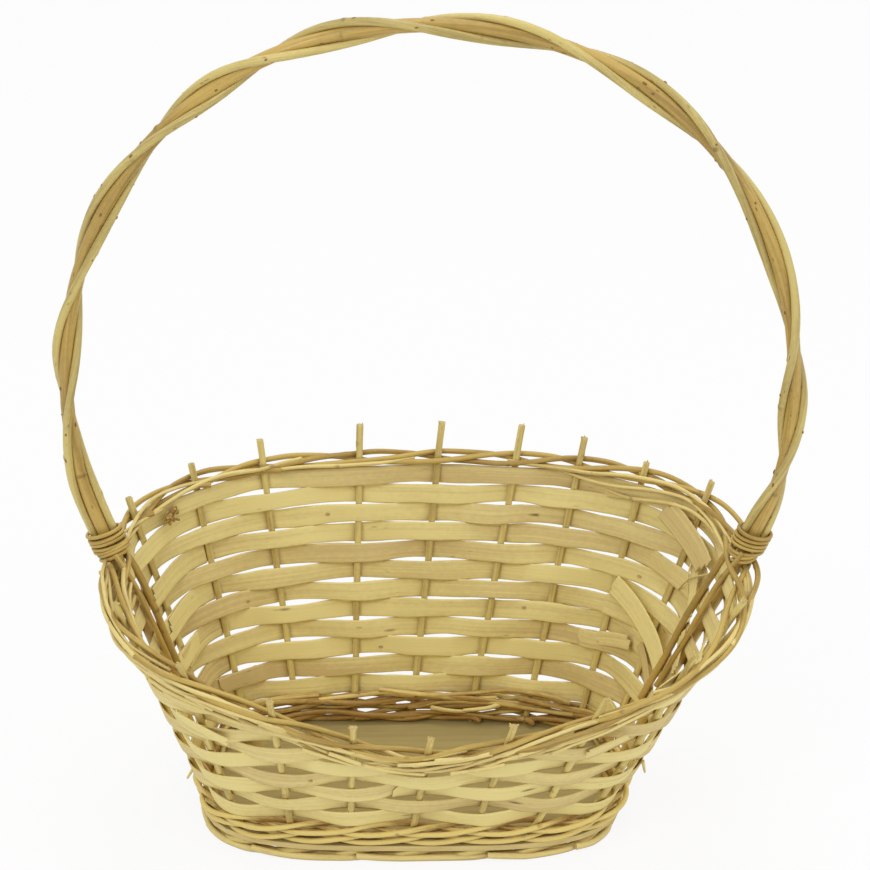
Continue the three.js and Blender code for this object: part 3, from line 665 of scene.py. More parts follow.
def sweep(context, name, lines, wood, sides=14, flat=False, uneven=0.06, seed=0, nodes=()):
    """Makes one piece from the lines and puts it in place of its solid."""
    mesh = bpy.data.meshes.new(name + "_line")
    edges, start = [], 0
    for line in lines:
        edges += [(start + i, start + i + 1) for i in range(len(line.points) - 1)]
        start += len(line.points)

    def joined(mark):
        return np.concatenate([getattr(line, mark) for line in lines])

    points = joined("points")
    mesh.from_pydata(points.tolist(), edges, [])
    runs = np.concatenate([line.run + 0.37 * i for i, line in enumerate(lines)]) + 0.91 * seed
    values = {"run": runs}
    for mark in ("half_out", "half_up", "tone", "knot", "knot_turn"):
        values[mark] = joined(mark)
    for key, value in values.items():
        mesh.attributes.new(key, "FLOAT", "POINT").data.foreach_set("value", value.astype("f4"))
    for key, value in (("centre", points), ("out_way", joined("out")), ("up_way", joined("up"))):
        data = mesh.attributes.new(key, "FLOAT_VECTOR", "POINT").data
        data.foreach_set("vector", value.astype("f4").ravel())
    guide = bpy.data.objects.new(name + "_line", mesh)
    context.scene.collection.objects.link(guide)
    tree = tree_for(flat)
    modifier = guide.modifiers.new("Sweep", "NODES")
    modifier.node_group = tree
    given = {"Sides": sides, "Unevenness": uneven, "Seed": seed, "Wood": wood}
    for item in tree.interface.items_tree:
        if item.in_out == "INPUT" and item.name in given:
            modifier[item.identifier] = given[item.name]
    result = guide.evaluated_get(context.evaluated_depsgraph_get())
    body = bpy.data.meshes.new_from_object(result)
    bpy.data.objects.remove(guide)
    bpy.data.meshes.remove(mesh)
    return finish_piece(context, name, body, nodes)


def finish_piece(context, name, body, nodes):
    """Turns the faces outwards, marks the cut ends, sets the piece on the root body and hides the solids
    it stands for.
    """
    if not body.polygons:
        raise RuntimeError(f"{name} has no faces")
    for key in ("centre", "out_way", "up_way", "half_out", "half_up", "knot", "knot_turn",
                "outline", "run"):
        if key in body.attributes:
            body.attributes.remove(body.attributes[key])
    body.calc_loop_triangles()
    count = len(body.vertices)
    spots = np.empty(count * 3, "f4")
    body.vertices.foreach_get("co", spots)
    spots = spots.reshape(-1, 3).astype(float)
    corners = np.empty(len(body.loop_triangles) * 3, "i4")
    body.loop_triangles.foreach_get("vertices", corners)
    a, b, c = (spots[corners.reshape(-1, 3)[:, k]] for k in range(3))
    if np.sum(a * np.cross(b, c)) < 0:
        body.flip_normals()
    ends = np.array([len(face.vertices) > 4 for face in body.polygons])
    body.attributes.new("cut", "FLOAT", "FACE").data.foreach_set("value", ends.astype("f4"))
    body.polygons.foreach_set("use_smooth", ~ends)
    body.name = name
    piece = bpy.data.objects.new(name, body)
    context.scene.collection.objects.link(piece)
    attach(piece, "root")
    if nodes:
        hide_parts(*nodes)
    return piece


# Woods


def wood_material(name, pale, dark, looks, fine, broad, gloss=0.55, speck=0.5, bump=0.35,
                  contrast=2.4, knots=0.0, knot_spread=(120, 120, 26), knots_from=0.58):
    """Wood with grain that runs along the rod or splint, darker patches, knots and cut ends, with
    painted shade where rods touch.
    """
    found = bpy.data.materials.get(name)
    if found:
        return found
    material, n, shader = new_material(name)
    grain = n.add("ShaderNodeAttribute", attribute_name="grain").outputs["Vector"]
    tone, knot, cut = (n.add("ShaderNodeAttribute", attribute_name=mark).outputs["Fac"]
                       for mark in ("tone", "knot_mark", "cut"))

    def spots(scale, inner, outer, strength):
        cells = n.add("ShaderNodeTexVoronoi", {"Vector": n.spread(grain, scale), "Scale": 1.0})
        return n.rescale(cells.outputs["Distance"], inner, outer, strength, 0.0)

    # Streaks, patches and mottle choose between the pale and the dark shade
    streaks = n.noise(grain, fine, 4.0, 0.6)
    patches = n.noise(grain, broad, 2.0)
    mottle = n.noise(grain, (420, 420, 260), 3.0)
    amount = n.math("ADD", n.around_middle(streaks, contrast), n.around_middle(patches, contrast))
    amount = n.math("ADD", n.math("ADD", amount, n.around_middle(mottle, 0.7)), tone)
    amount = n.add("ShaderNodeClamp", {0: amount}).outputs[0]
    base = n.mix(amount, (*pale, 1), (*dark, 1))

    # Specks and knots
    rare = n.rescale(n.noise(grain, (70, 70, 30), 1.0), 0.56, 0.66)
    speckle = n.math("MULTIPLY", spots((330, 330, 62), 0.05, 0.17, 1.0), rare)
    base = n.mix(n.math("MULTIPLY", speckle, speck), base, (*looks.knot, 1))
    dark_knot = n.rescale(knot, 0.2, 0.75, 0.0, 0.6)
    if knots:
        few = n.rescale(n.noise(grain, (25, 25, 17), 0.0), knots_from, knots_from + 0.02)
        grown = n.math("MULTIPLY", spots(knot_spread, 0.06, 0.16, knots), few)
        dark_knot = n.math("MAXIMUM", dark_knot, grown)
    base = n.mix(dark_knot, base, (*looks.knot, 1))

    # Cut ends, and painted shade: a brown mixed in where rods touch, by how little light reaches each
    # spot
    rings = n.noise(grain, (900, 900, 900), 2.0)
    cut_wood = n.mix(rings, (*looks.cut, 1), (*pale, 1))
    base = n.mix(n.math("MULTIPLY", cut, 0.85), base, cut_wood)
    open_share = n.add("ShaderNodeAmbientOcclusion", {"Distance": 0.006}, samples=6).outputs["AO"]
    base = n.mix(n.rescale(open_share, 0.1, 0.7, 0.72, 0.0), base, (*looks.crevice_shade_and_knot, 1))

    n.join(base, shader.inputs["Base Color"])
    n.join(n.rescale(streaks, 0.0, 1.0, gloss - 0.1, gloss + 0.15), shader.inputs["Roughness"])
    height = n.math("ADD", streaks, n.math("MULTIPLY", mottle, 0.4))
    ridges = n.add("ShaderNodeBump", {"Height": height, "Strength": bump, "Distance": 0.0004})
    n.join(ridges.outputs[0], shader.inputs["Normal"])
    shader.inputs["Specular IOR Level"].default_value = 0.45
    return material


def darker(shade, share, warm=0.9):
    """A darker shade, which loses more blue than red."""
    return (shade[0] * share, shade[1] * share * (0.5 + warm / 2), shade[2] * share * warm)


def rod_wood(looks, name, shade, speck=0.5, gloss=0.5, depth=0.62, warm=0.74, knots=0.0):
    return wood_material(name, tuple(shade), darker(shade, depth, warm), looks, fine=(650, 650, 12),
                         broad=(90, 90, 14), gloss=gloss, speck=speck, knots=knots,
                         knot_spread=(260, 260, 85), knots_from=0.47)


def board_wood(looks):
    """Sawn wood with long fine lines and broad bands, and painted light that makes its edge paler."""
    material, n, shader = new_material("board_wood")
    place = n.add("ShaderNodeTexCoord").outputs["Object"]
    lines = n.noise(place, (9, 260, 600), 6.0, 0.65)
    bands = n.noise(place, (12, 45, 30), 3.0, 0.5, 1.2)
    mixed = n.math("ADD", n.math("MULTIPLY", lines, 0.5), n.math("MULTIPLY", bands, 0.5))
    ramp = n.add("ShaderNodeValToRGB", {"Fac": mixed})
    ends = ((0.38, darker(looks.board, 0.76)), (0.72, looks.board))
    for stop, (position, shade) in zip(ramp.color_ramp.elements, ends):
        stop.position, stop.color = position, (*shade, 1)
    # Painted light: the board's sides, below its top, are made paler as if lit from the front
    height = n.add("ShaderNodeSeparateXYZ", {0: place}).outputs[2]
    edge = n.math("LESS_THAN", height, BOARD_HIGH[2] - 0.0004)
    tone, blue = (n.math("MULTIPLY_ADD", edge, paler, 1.0) for paler in (0.85, 1.05))
    light = n.add("ShaderNodeCombineXYZ", {0: tone, 1: tone, 2: blue}).outputs[0]
    n.join(n.mix(1.0, ramp.outputs[0], light, "MULTIPLY"), shader.inputs["Base Color"])
    ridges = n.add("ShaderNodeBump", {"Height": lines, "Strength": 0.4, "Distance": 0.0005})
    n.join(ridges.outputs[0], shader.inputs["Normal"])
    shader.inputs["Roughness"].default_value = 0.7
    shader.inputs["Specular IOR Level"].default_value = 0.3
    return material


# Operators


def shared(context):
    sizes, looks = context.scene.basket_sizes, context.scene.basket_looks
    return sizes, looks, Wall(sizes)


class BASKET_OT_board(bpy.types.Operator):
    """Gives the base board its wood"""

    bl_idname = "basket.board"
    bl_label = "Base board"

    def execute(self, context):
        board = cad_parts["base_board"]
        board.data.materials.clear()
        board.data.materials.append(board_wood(context.scene.basket_looks))
        return {"FINISHED"}


def tail_place(order, run):
    """The place that a stake's tail reaches after a run counted in spacings."""
    count, leg = len(STAKE_SITES), math.floor(run)
    first = STAKE_SITES[(order + leg) % count] + SITE_COUNT * ((order + leg) // count)
    second = STAKE_SITES[(order + leg + 1) % count] + SITE_COUNT * ((order + leg + 1) // count)
    return first + (second - first) * (run - leg)


def stake_line(wall, order, site):
    """From the tip down through the board, round the elbow and along the foot border."""
    foot = wall.point(site, wall.board_top)
    facing = wall.outward(site, wall.board_top)
    along = np.array([-facing[1], facing[0], 0])
    top = wall.tip_height(site)
    knots = []
    for share in np.linspace(1, 0, 9):
        height = wall.board_top + TOUCH_GAP + (top - wall.board_top) * share
        knots.append(wall.point(site, height))
    for turn in (0, 30, 60):
        angle = math.radians(turn)
        bend = foot + along * ELBOW_RADIUS * (1 - math.cos(angle))
        bend[2] = wall.tail_low + ELBOW_RADIUS * (1 - math.sin(angle))
        knots.append(bend)
    ways = [facing] * len(knots)
    spacing = np.linalg.norm(wall.point(tail_place(order, 1), wall.board_top) - foot)
    first_run = ELBOW_RADIUS / spacing
    side = wall.s.stake + TAIL_SIDE_GAP
    for run in (first_run, *TAIL_RUNS):
        place = tail_place(order, run)
        level = wall.outward(place, wall.board_top)
        if run <= 1:
            offset = side * (run - first_run) / (1 - first_run)
        else:
            offset = side * max(-1, 1 - 2 * (run - 1))
        point = wall.point(place, wall.board_top) + level * offset
        climb = min(1, max(0, (run - TAIL_RISE_RUN) / (1 - TAIL_RISE_RUN)))
        point[2] = wall.tail_low + (wall.tail_high - wall.tail_low) * climb
        knots.append(point)
        ways.append(level)
    points = smooth_line(knots, ROD_STEP)
    runs = run_along(np.array(knots))
    facings = read_between(np.linspace(0, 1, len(points)), runs / runs[-1], ways)
    low = np.clip((wall.board_bottom + 0.004 - points[:, 2]) / 0.004, 0, 1)
    return Line(points, facings, wall.stake_radius * (STAKE_FULLNESS + 0.12 * low))


class BASKET_OT_stakes(bpy.types.Operator):
    """Makes the stakes, with their cut tips and the tails woven under the board"""

    bl_idname = "basket.stakes"
    bl_label = "Stakes and foot border"

    def execute(self, context):
        sizes, looks, wall = shared(context)
        wood = rod_wood(looks, "stake_wood", looks.stake, speck=0.6)
        for order, site in enumerate(STAKE_SITES):
            rng = random.Random(looks.seed * 100 + order)
            line = stake_line(wall, order, site)
            line.natural(rng, sizes.wander * 0.35, knot_every=0.05, tone=0.25)
            line.knot *= line.points[:, 2] > wall.board_bottom
            line.rest_on_floor()
            line.cut_ends()
            sweep(context, f"stake_{order + 1:02d}_rod", [line], wood, seed=order + 1,
                  nodes=[f"stake_{order + 1:02d}"])
        return {"FINISHED"}


def loosen(place, index):
    """How far a rim rod has moved outwards and up, on the right of the front."""
    turned = place % SITE_COUNT
    share = min(1, max(0, (turned - 15.6) / 4.0))
    swell = math.sin(math.pi * share) ** 2
    return RIM_ROD_SPRINGS[index] * swell, RIM_ROD_RISES[index] * swell


def wale_line(wall, start, index, height_at, slope_at, loose=False):
    """A rod woven outside two uprights and inside the third, with a tone that is paler outside and
    darker inside: partly the rod's own browner colour, partly painted shade of the basket's inside.
    """
    first = start + index
    following = start if index == WALE_RODS - 1 else first + 1
    last = SITE_COUNT + following - 0.03
    points, ways, radii, stain_and_shade_tones = [], [], [], []
    for place in np.arange(first - 0.16, last + 0.10, 0.05):
        angle = math.pi * (1 + 2 * (min(max(place, first), last) - first) / 3)
        height = height_at(place)
        site = math.floor(place)
        share = (1 - math.cos(math.pi * (place - site))) / 2
        here = wall.upright_radius(site, height)
        there = wall.upright_radius(site + 1, height)
        reach = (here + (there - here) * share + wall.wale_radius + TOUCH_GAP) * WALE_EASE
        offset = reach / 3 + reach * 4 / 3 * math.cos(angle)
        if place < first:
            offset -= (first - place) * 0.022
        lift = wall.wale_rise * slope_at(place) * math.sin(angle)
        if loose:
            spring, rise = loosen(place, index)
            offset += spring
            lift += rise
        level = wall.outward(place, height)
        lean = math.acos(min(1, float(level @ wall.normal(place, height))))
        points.append(wall.point(place, height + lift) + level * offset / math.cos(lean))
        ways.append(level)
        radii.append(wall.wale_radius * (WALE_FULLNESS + 0.04 * loose))
        # Painted shade, partly the rod's own colour: darker where the rod passes inside the wall
        stain_and_shade_tones.append(-0.35 * offset / reach)
    line = Line(points, ways, radii)
    return line, np.array(stain_and_shade_tones)


class BASKET_OT_base_wale(bpy.types.Operator):
    """Makes the two rounds of three rods woven round the foot of the wall"""

    bl_idname = "basket.base_wale"
    bl_label = "Base wale"

    def execute(self, context):
        sizes, looks, wall = shared(context)
        wood = rod_wood(looks, "base_wale_wood", looks.base, speck=0.7, depth=0.45, warm=0.42)
        for turn, start in enumerate(BASE_WALE_STARTS):
            height = wall.board_top + TOUCH_GAP + wall.half_band + turn * (
                2 * wall.half_band + TOUCH_GAP)
            for index in range(WALE_RODS):
                number = turn * WALE_RODS + index + 1
                rng = random.Random(looks.seed * 200 + number)
                line, sides = wale_line(wall, start, index, lambda place: height, lambda place: 1)
                line.natural(rng, sizes.wander, tone=rng.uniform(0.1, 0.6))
                # Painted shade, partly also real browner wood: the rods darken where they pass inside
                # the wall, where the basket's inside is shaded
                line.tone += sides * 2
                line.cut_ends()
                sweep(context, f"base_wale_{number:02d}_rod", [line], wood, seed=30 + number,
                      nodes=[f"base_wale_rod_{number:02d}"], sides=12)
        return {"FINISHED"}


def row_places(wall, row):
    """Where a splint row starts and ends, and whether it laps on itself."""
    bottom = wall.first_row + row * wall.row_pitch
    if wall.under_rim(FRONT_SITE) - bottom > SPLINT_END_HEIGHT:
        lap_site = SITE_COUNT + (SPLINT_LAP_SITES * row + 1) % SITE_COUNT
        return lap_site - SPLINT_LAP_SHARE, lap_site + SITE_COUNT + SPLINT_LAP_SHARE, True
    reach = 0
    while wall.under_rim(SITE_COUNT - reach - 0.02) - bottom > SPLINT_END_HEIGHT:
        reach += 0.02
    whole = math.floor(reach - SPLINT_END_SHARE / 2)
    end = min(reach, whole + SPLINT_END_SHARE + 0.5)
    return SITE_COUNT - end, SITE_COUNT + LEFT_SITE + end, False


def splint_line(wall, rng, row):
    """One woven row, with its own wander, width and roll, that narrows to a slanted cut at both ends."""
    sizes = wall.s
    bottom = wall.first_row + row * wall.row_pitch
    top = bottom + wall.row_pitch - sizes.splint_gap
    first, last, lapped = row_places(wall, row)
    places = np.arange(first, last + 0.02, 0.04)
    run = places * 0.05
    wander = wave(rng, run, 0.14, 0.0008)
    width = 0.0002 + wave(rng, run, 0.11, 0.0005)
    roll = wave(rng, run, 0.12, 0.09)
    points, outs, ups, halves = [], [], [], []
    for place, stray, wide, tilt in zip(places, wander, width, roll):
        low, high = bottom + stray - wide, top + stray + wide
        high = min(top if row == SPLINT_ROWS - 1 else high, wall.under_rim(place))
        offset = wall.weave(place, (bottom + top) / 2, row)
        if lapped:
            share = min(1, max(0, (place - last + 1) / (1 - 2 * SPLINT_LAP_SHARE)))
            offset -= share * (sizes.splint + TOUCH_GAP)
        square = wall.normal(place, (low + high) / 2)
        ends = [wall.point(place, h) + square * offset for h in (low, high)]
        rise = ends[1] - ends[0]
        half = np.linalg.norm(rise) / 2
        up = rise / (2 * half)
        out = square * math.cos(tilt) + up * math.sin(tilt)
        up = up * math.cos(tilt) - square * math.sin(tilt)
        slant = min(1, 0.55 + min(place - first, last - place) / 0.2)
        points.append((ends[0] + ends[1]) / 2 - up * half * (1 - slant) * (-1) ** row)
        outs.append(out)
        ups.append(up)
        halves.append(half * slant)
    line = Line(points, outs, sizes.splint / 2, halves, ups)
    line.tone = (0.1, 0.5)[row % 2] + rng.uniform(-0.15, 0.25) + wave(rng, line.run, 0.45, 0.4)
    return line


class BASKET_OT_splints(bpy.types.Operator):
    """Makes the flat splint rows woven over and under the stakes"""

    bl_idname = "basket.splints"
    bl_label = "Splint rows"

    def execute(self, context):
        _, looks, wall = shared(context)
        wood = wood_material("woven_splint_wood", tuple(looks.splint_pale), tuple(looks.splint_tan),
                             looks, fine=(800, 800, 7), broad=(110, 150, 5), gloss=0.6, speck=0.5,
                             bump=0.5, contrast=1.5, knots=0.8)
        for row in range(SPLINT_ROWS):
            line = splint_line(wall, random.Random(looks.seed * 300 + row), row)
            sweep(context, f"splint_{row + 1:02d}_strip", [line], wood, flat=True, sides=28,
                  uneven=0.10, seed=60 + row, nodes=[f"splint_row_{row + 1:02d}"])
        return {"FINISHED"}


class BASKET_OT_rim_wale(bpy.types.Operator):
    """Makes the three rods woven along the rim"""

    bl_idname = "basket.rim_wale"
    bl_label = "Rim wale"

    def execute(self, context):
        sizes, looks, wall = shared(context)
        wood = rod_wood(looks, "rim_wale_wood", looks.rim, speck=0.6)
        for index in range(WALE_RODS):
            rng = random.Random(looks.seed * 400 + index)
            line, _ = wale_line(wall, RIM_WALE_START, index, wall.rim, wall.rim_slope, loose=True)
            line.natural(rng, sizes.wander, tone=0.1 + 0.25 * index).cut_ends()
            sweep(context, f"rim_wale_{index + 1:02d}_rod", [line], wood, seed=50 + index, sides=12,
                  nodes=[f"rim_wale_rod_{index + 1:02d}"])
        return {"FINISHED"}


def handle_points(wall):
    """The middle line of the handle, from the right foot over the hoop to the left foot."""
    sizes = wall.s

    def leg(site):
        foot = wall.board_top + TOUCH_GAP + sizes.leg_foot / 2 * math.sin(wall.lean(site))
        return [wall.point(site, foot + (wall.leg_top - foot) * i / 9) for i in range(10)]

    hoop = []
    span = 180 - 2 * HOOP_LOWEST_ANGLE
    for i in range(13):
        angle = math.radians(HOOP_LOWEST_ANGLE + span * i / 12)
        x = math.copysign(abs(math.cos(angle)) ** (2 / HOOP_SQUARENESS), math.cos(angle))
        z = math.copysign(abs(math.sin(angle)) ** (2 / HOOP_SQUARENESS), math.sin(angle))
        hoop.append(np.array([sizes.hoop_shift + sizes.hoop_width / 2 * x + wall.shift[0],
                              wall.shift[1], wall.hoop_centre + sizes.hoop_rise * z]))
    return smooth_line(leg(RIGHT_SITE) + hoop + leg(LEFT_SITE)[::-1], FINE_STEP)


def handle_outwards(points):
    """Directions out of the hoop, square to its line."""
    along = unit(np.gradient(points, axis=0))
    return unit(np.stack([along[:, 2], 0 * along[:, 0], -along[:, 0]], axis=1))


def twist_angle(degrees):
    """How far the thin rods have turned round the core at each angle of the hoop."""
    angles = [TWIST_END_ANGLES[0], *TWIST_CROSSINGS, TWIST_END_ANGLES[1]]
    turns = [90 + 180 * i for i in range(len(TWIST_CROSSINGS))]
    return np.interp(degrees, angles, [0, *turns, turns[-1] + 90])


def hoop_angle(wall, points):
    """Each point's angle round the hoop's centre, from its right."""
    middle = wall.s.hoop_shift + wall.shift[0]
    degrees = np.degrees(np.arctan2(points[:, 2] - wall.hoop_centre, points[:, 0] - middle))
    return np.where(degrees < -90, degrees + 360, degrees)


def twist_turns(wall, points):
    """The thin rods' turn at each point, smoothed over some steps to both sides."""
    turns = np.radians(twist_angle(hoop_angle(wall, points)))
    kernel = np.hanning(2 * TWIST_SMOOTHING + 1)
    padded = np.pad(turns, TWIST_SMOOTHING, mode="edge")
    return np.convolve(padded, kernel / kernel.sum(), mode="valid")


def handle_knot_lines(wall, rng, points, outwards, turns):
    """Small domes by turns on an open face of the core rod and outside one of the thin ones."""
    sizes = wall.s
    lines = []
    for number in range(HANDLE_KNOTS):
        at = rng.randrange(30, len(points) - 30)
        along = unit(points[at + 1] - points[at - 1])
        if number % 2:
            angle = turns[at] + rng.choice((0.5, 1.5)) * math.pi + rng.uniform(-0.5, 0.5)
            reach = sizes.core / 2 * CORE_FULLNESS
        else:
            angle = turns[at] + rng.choice((0, math.pi))
            reach = wall.twist_reach - TOUCH_GAP + sizes.twist / 2 * THIN_FULLNESS
        away = outwards[at] * math.cos(angle) + np.array([0, math.sin(angle), 0])
        wide = rng.uniform(0.0005, 0.0009)
        knots = [points[at] + away * (reach + step) for step in (-0.0006, 0, 0.0005)]
        line = Line(smooth_line(knots, KNOT_STEP), along, wide * rng.uniform(1.4, 2.8), wide)
        dome = np.sqrt(1 - np.linspace(0, 0.97, len(line.points)) ** 2)
        line.half_out *= dome
        line.half_up *= dome
        lines.append(line)
    return lines


def lower_end_lines(wall, looks):
    """The thin rods' lower ends, which run down inside the weave on both sides of each leg."""
    sizes = wall.s
    top = wall.twist_foot + 0.001
    lines = []
    for site, spread in ((RIGHT_SITE, 1), (LEFT_SITE, -1)):
        for side, low, thickness in ((0.16, 0.066, 1.05), (-0.2, 0.084, 0.8)):
            rng = random.Random(looks.seed * 520 + site + int(side > 0))
            knots = []
            for height in np.linspace(top, low, 9):
                share = min(1, (top - height) / 0.02)
                knots.append(wall.beside(site + spread * side * (0.7 + 0.3 * share), height,
                                         -0.0030 - 0.0038 * share))
            line = Line(smooth_line(knots, ROD_STEP), wall.outward(site, low),
                        sizes.twist / 2 * thickness)
            lines.append(line.natural(rng, sizes.wander * 0.8, tone=0.55).cut_ends())
    return lines


class BASKET_OT_handle(bpy.types.Operator):
    """Makes the hoop handle: a thick core rod and two thin rods twisted round it"""

    bl_idname = "basket.handle"
    bl_label = "Handle"

    def execute(self, context):
        sizes, looks, wall = shared(context)
        points = handle_points(wall)
        outwards = handle_outwards(points)
        rng = random.Random(looks.seed * 500)
        radii = np.array([wall.leg_radius(z) for z in points[:, 2]])
        core = Line(points, outwards, radii * CORE_FULLNESS)
        core.natural(rng, sizes.wander * 0.2, knot_every=0.08, tone=0.3, bend=0.3).cut_ends()
        core_wood = rod_wood(looks, "handle_core_wood", looks.core, speck=0.9, gloss=0.34,
                             warm=0.9, knots=0.75)
        sweep(context, "handle_core_rod", [core], core_wood, sides=22, uneven=0.05, seed=71,
              nodes=["handle_core"])
        thin_wood = rod_wood(looks, "handle_twist_wood", looks.twist, speck=0.7, gloss=0.34,
                             warm=0.86, knots=0.6)
        above = points[:, 2] > wall.twist_foot
        points, outwards = points[above], outwards[above]
        turns = twist_turns(wall, points)
        for number, side in ((1, 0), (2, math.pi)):
            facing = outwards * np.cos(turns + side)[:, None]
            facing[:, 1] += np.sin(turns + side)
            line = Line(points + facing * (wall.twist_reach - TOUCH_GAP), facing,
                        sizes.twist / 2 * THIN_FULLNESS)
            line.natural(random.Random(looks.seed * 510 + number), sizes.wander * 0.2,
                         knot_every=0.11, tone=0.25 * number, bend=0.3).cut_ends()
            sweep(context, f"handle_thin_{number:02d}_rod", [line], thin_wood, sides=18,
                  uneven=0.07, seed=72 + number, nodes=[f"handle_twist_rod_{number:02d}"])
        rng = random.Random(looks.seed * 530)
        lines = handle_knot_lines(wall, rng, points, outwards, turns)
        wood = rod_wood(looks, "knot_wood", looks.crevice_shade_and_knot, depth=0.6)
        sweep(context, "handle_knots", lines, wood, sides=8, uneven=0.3, seed=77)
        sweep(context, "handle_lower_ends", lower_end_lines(wall, looks), core_wood, sides=14,
              seed=76)
        return {"FINISHED"}


def binding_line(wall, seed, rising):
    """Winds round the handle at a joint, in tight turns with looser ones below them."""
    sizes = wall.s
    points = handle_points(wall)
    outwards = handle_outwards(points)
    run = run_along(points)
    wide = wall.twist_reach + sizes.twist / 2 + sizes.binding / 2 + 2 * TOUCH_GAP
    narrow = sizes.core / 2 + sizes.twist / 2 + sizes.binding / 2 + TOUCH_GAP
    middle = len(points) // 2
    half = slice(0, middle) if rising else slice(len(points) - 1, middle, -1)
    start = np.interp(wall.twist_foot + 0.0022, points[half, 2], run[half])
    way = 1 if rising else -1
    turn = np.arange(*BINDING_TURNS, 1 / BINDING_STEPS)
    below = np.clip(-turn, 0, None)
    loose = wave(random.Random(seed * 620 + rising), turn * 0.02, 0.05, 0.0005)
    at = start + way * ((turn + below * 0.2) * sizes.binding_pitch + loose)
    out = unit(read_between(at, run, outwards))
    angle = 2 * math.pi * turn
    spread = np.clip(below / 0.6, 0, 1)
    aside = (wide - 0.0012 * spread) * np.cos(angle) - 0.0006 * spread
    wound = read_between(at, run, points) + out * aside[:, None]
    wound[:, 1] += (narrow + 0.0012 * spread) * np.sin(angle)
    slope = 0.0012 + 0.0022 * spread
    wound[:, 2] += slope * np.sin(angle + (1.2 if rising else 3.7))
    facing = out * np.cos(angle)[:, None]
    facing[:, 1] += np.sin(angle)
    line = Line(wound, facing, sizes.binding / 2)
    line.tone += 0.3 + wave(random.Random(seed * 600 + rising), line.run, 0.05, 0.2)
    return line.cut_ends()


class BASKET_OT_bindings(bpy.types.Operator):
    """Winds the thin rods that bind the handle in at the rim"""

    bl_idname = "basket.bindings"
    bl_label = "Bindings"

    def execute(self, context):
        _, looks, wall = shared(context)
        wood = rod_wood(looks, "binding_wood", looks.rim, speck=0.5)
        for name, rising in (("right_binding", True), ("left_binding", False)):
            line = binding_line(wall, looks.seed, rising)
            sweep(context, f"{name}_rod", [line], wood, sides=12, seed=80 + rising,
                  nodes=[name])
        return {"FINISHED"}


def strand(wall, places, height_at, offset_at, radius):
    """A thin rod that runs along the wall at the heights and distances given place by place."""
    knots = [wall.beside(place, height_at(place), offset_at(place)) for place in places]
    ways = [wall.outward(place, height_at(place)) for place in places]
    points = smooth_line(knots, ROD_STEP)
    spread = np.linspace(0, len(ways) - 1, len(points))
    return Line(points, read_between(spread, range(len(ways)), ways), radius)


def rim_strand(wall, rng, first, last, out_by, down_by, swing, radius):
    """One of the thin rods that lie along the rim, swinging a little above and below it."""
    phase = rng.uniform(0, 2 * math.pi)
    pitch = rng.uniform(2.3, 3.6)
    sign = 1 if out_by > 0 else -1

    def turn(place):
        return phase + 2 * math.pi * place / pitch

    def tuck(place):
        return 0.0055 * max(0, 1 - min(place - first, last - place) / 0.5)

    return strand(wall, np.arange(first, last + 0.01, 0.25),
                  lambda place: wall.rim(place) - down_by + swing * math.sin(turn(place)),
                  lambda place: out_by + 0.0012 * math.cos(turn(place)) - sign * tuck(place),
                  radius)


def broken_rod_lines(wall, rng):
    """Short broken rods outside the rim, from its left end round the front to the right end."""
    lines = []
    for _ in range(BROKEN_RODS):
        place = rng.choice((rng.uniform(9.9, 13.6), rng.uniform(13.6, 19.9)))
        span = rng.uniform(0.55, 1.3)
        start, slope = rng.uniform(-0.004, 0.010), rng.uniform(-0.007, 0.007)
        out_by = rng.uniform(0.0062, 0.0088)
        line = strand(wall, np.linspace(place, place + span, 5),
                      lambda at: wall.rim(at) - start - slope * (at - place) / span,
                      lambda at: out_by, rng.uniform(0.0011, 0.0017))
        lines.append(line.natural(rng, wall.s.wander, tone=rng.uniform(-0.5, 0.2)).cut_ends())
    return lines


class BASKET_OT_side_rods(bpy.types.Operator):
    """Lays the thin and broken rods that run along the rim beside its three woven ones"""

    bl_idname = "basket.side_rods"
    bl_label = "Thin rods along the rim"

    def execute(self, context):
        sizes, looks, wall = shared(context)
        wood = rod_wood(looks, "side_rod_wood", looks.strand, speck=0.45)
        for number, spans in enumerate(RIM_STRANDS):
            rng = random.Random(looks.seed * 700 + number)
            line = rim_strand(wall, rng, *spans)
            line.natural(rng, sizes.wander, tone=rng.uniform(-0.4, 0.35)).cut_ends()
            sweep(context, f"rim_strand_{number + 1:02d}", [line], wood, sides=10,
                  seed=90 + number)
        lines = broken_rod_lines(wall, random.Random(looks.seed * 720))
        sweep(context, "rim_broken_rods", lines, wood, sides=8, seed=88)
        return {"FINISHED"}


def inner_base_lines(wall, rng):
    """Rods that lie along the inside of the base wale."""
    lines = []
    for first, last, height, tone in INNER_BASE_RODS:
        phase = rng.uniform(0, 6.28)
        line = strand(wall, np.arange(first, last + 0.01, 0.2),
                      lambda at: wall.board_top + height + 0.0016 * math.sin(phase + at * 2.4),
                      lambda at: -0.0046 - 0.0012 * math.cos(phase + at * 2.4),
                      rng.uniform(0.0014, 0.0019))
        lines.append(line.natural(rng, wall.s.wander, tone=tone).cut_ends())
    return lines


def foot_border_lines(wall, rng):
    """Loose rods outside the foot border, each sinking towards the floor from its first end."""
    lines = []
    for first, last, out_by, rise in FOOT_BORDER_RODS:
        line = strand(wall, np.arange(first, last + 0.01, 0.15),
                      lambda at: 0.0023 + rise * max(0, 1 - (at - first) / (last - first) / 0.8),
                      lambda at: out_by - 0.0036 * max(0, 1 - (last - at) / 0.6),
                      rng.uniform(0.0018, 0.0023))
        line.natural(rng, wall.s.wander * 0.6, tone=rng.uniform(-0.5, 0.1)).cut_ends()
        line.knot[:] = 0
        line.rest_on_floor()
        lines.append(line)
    return lines


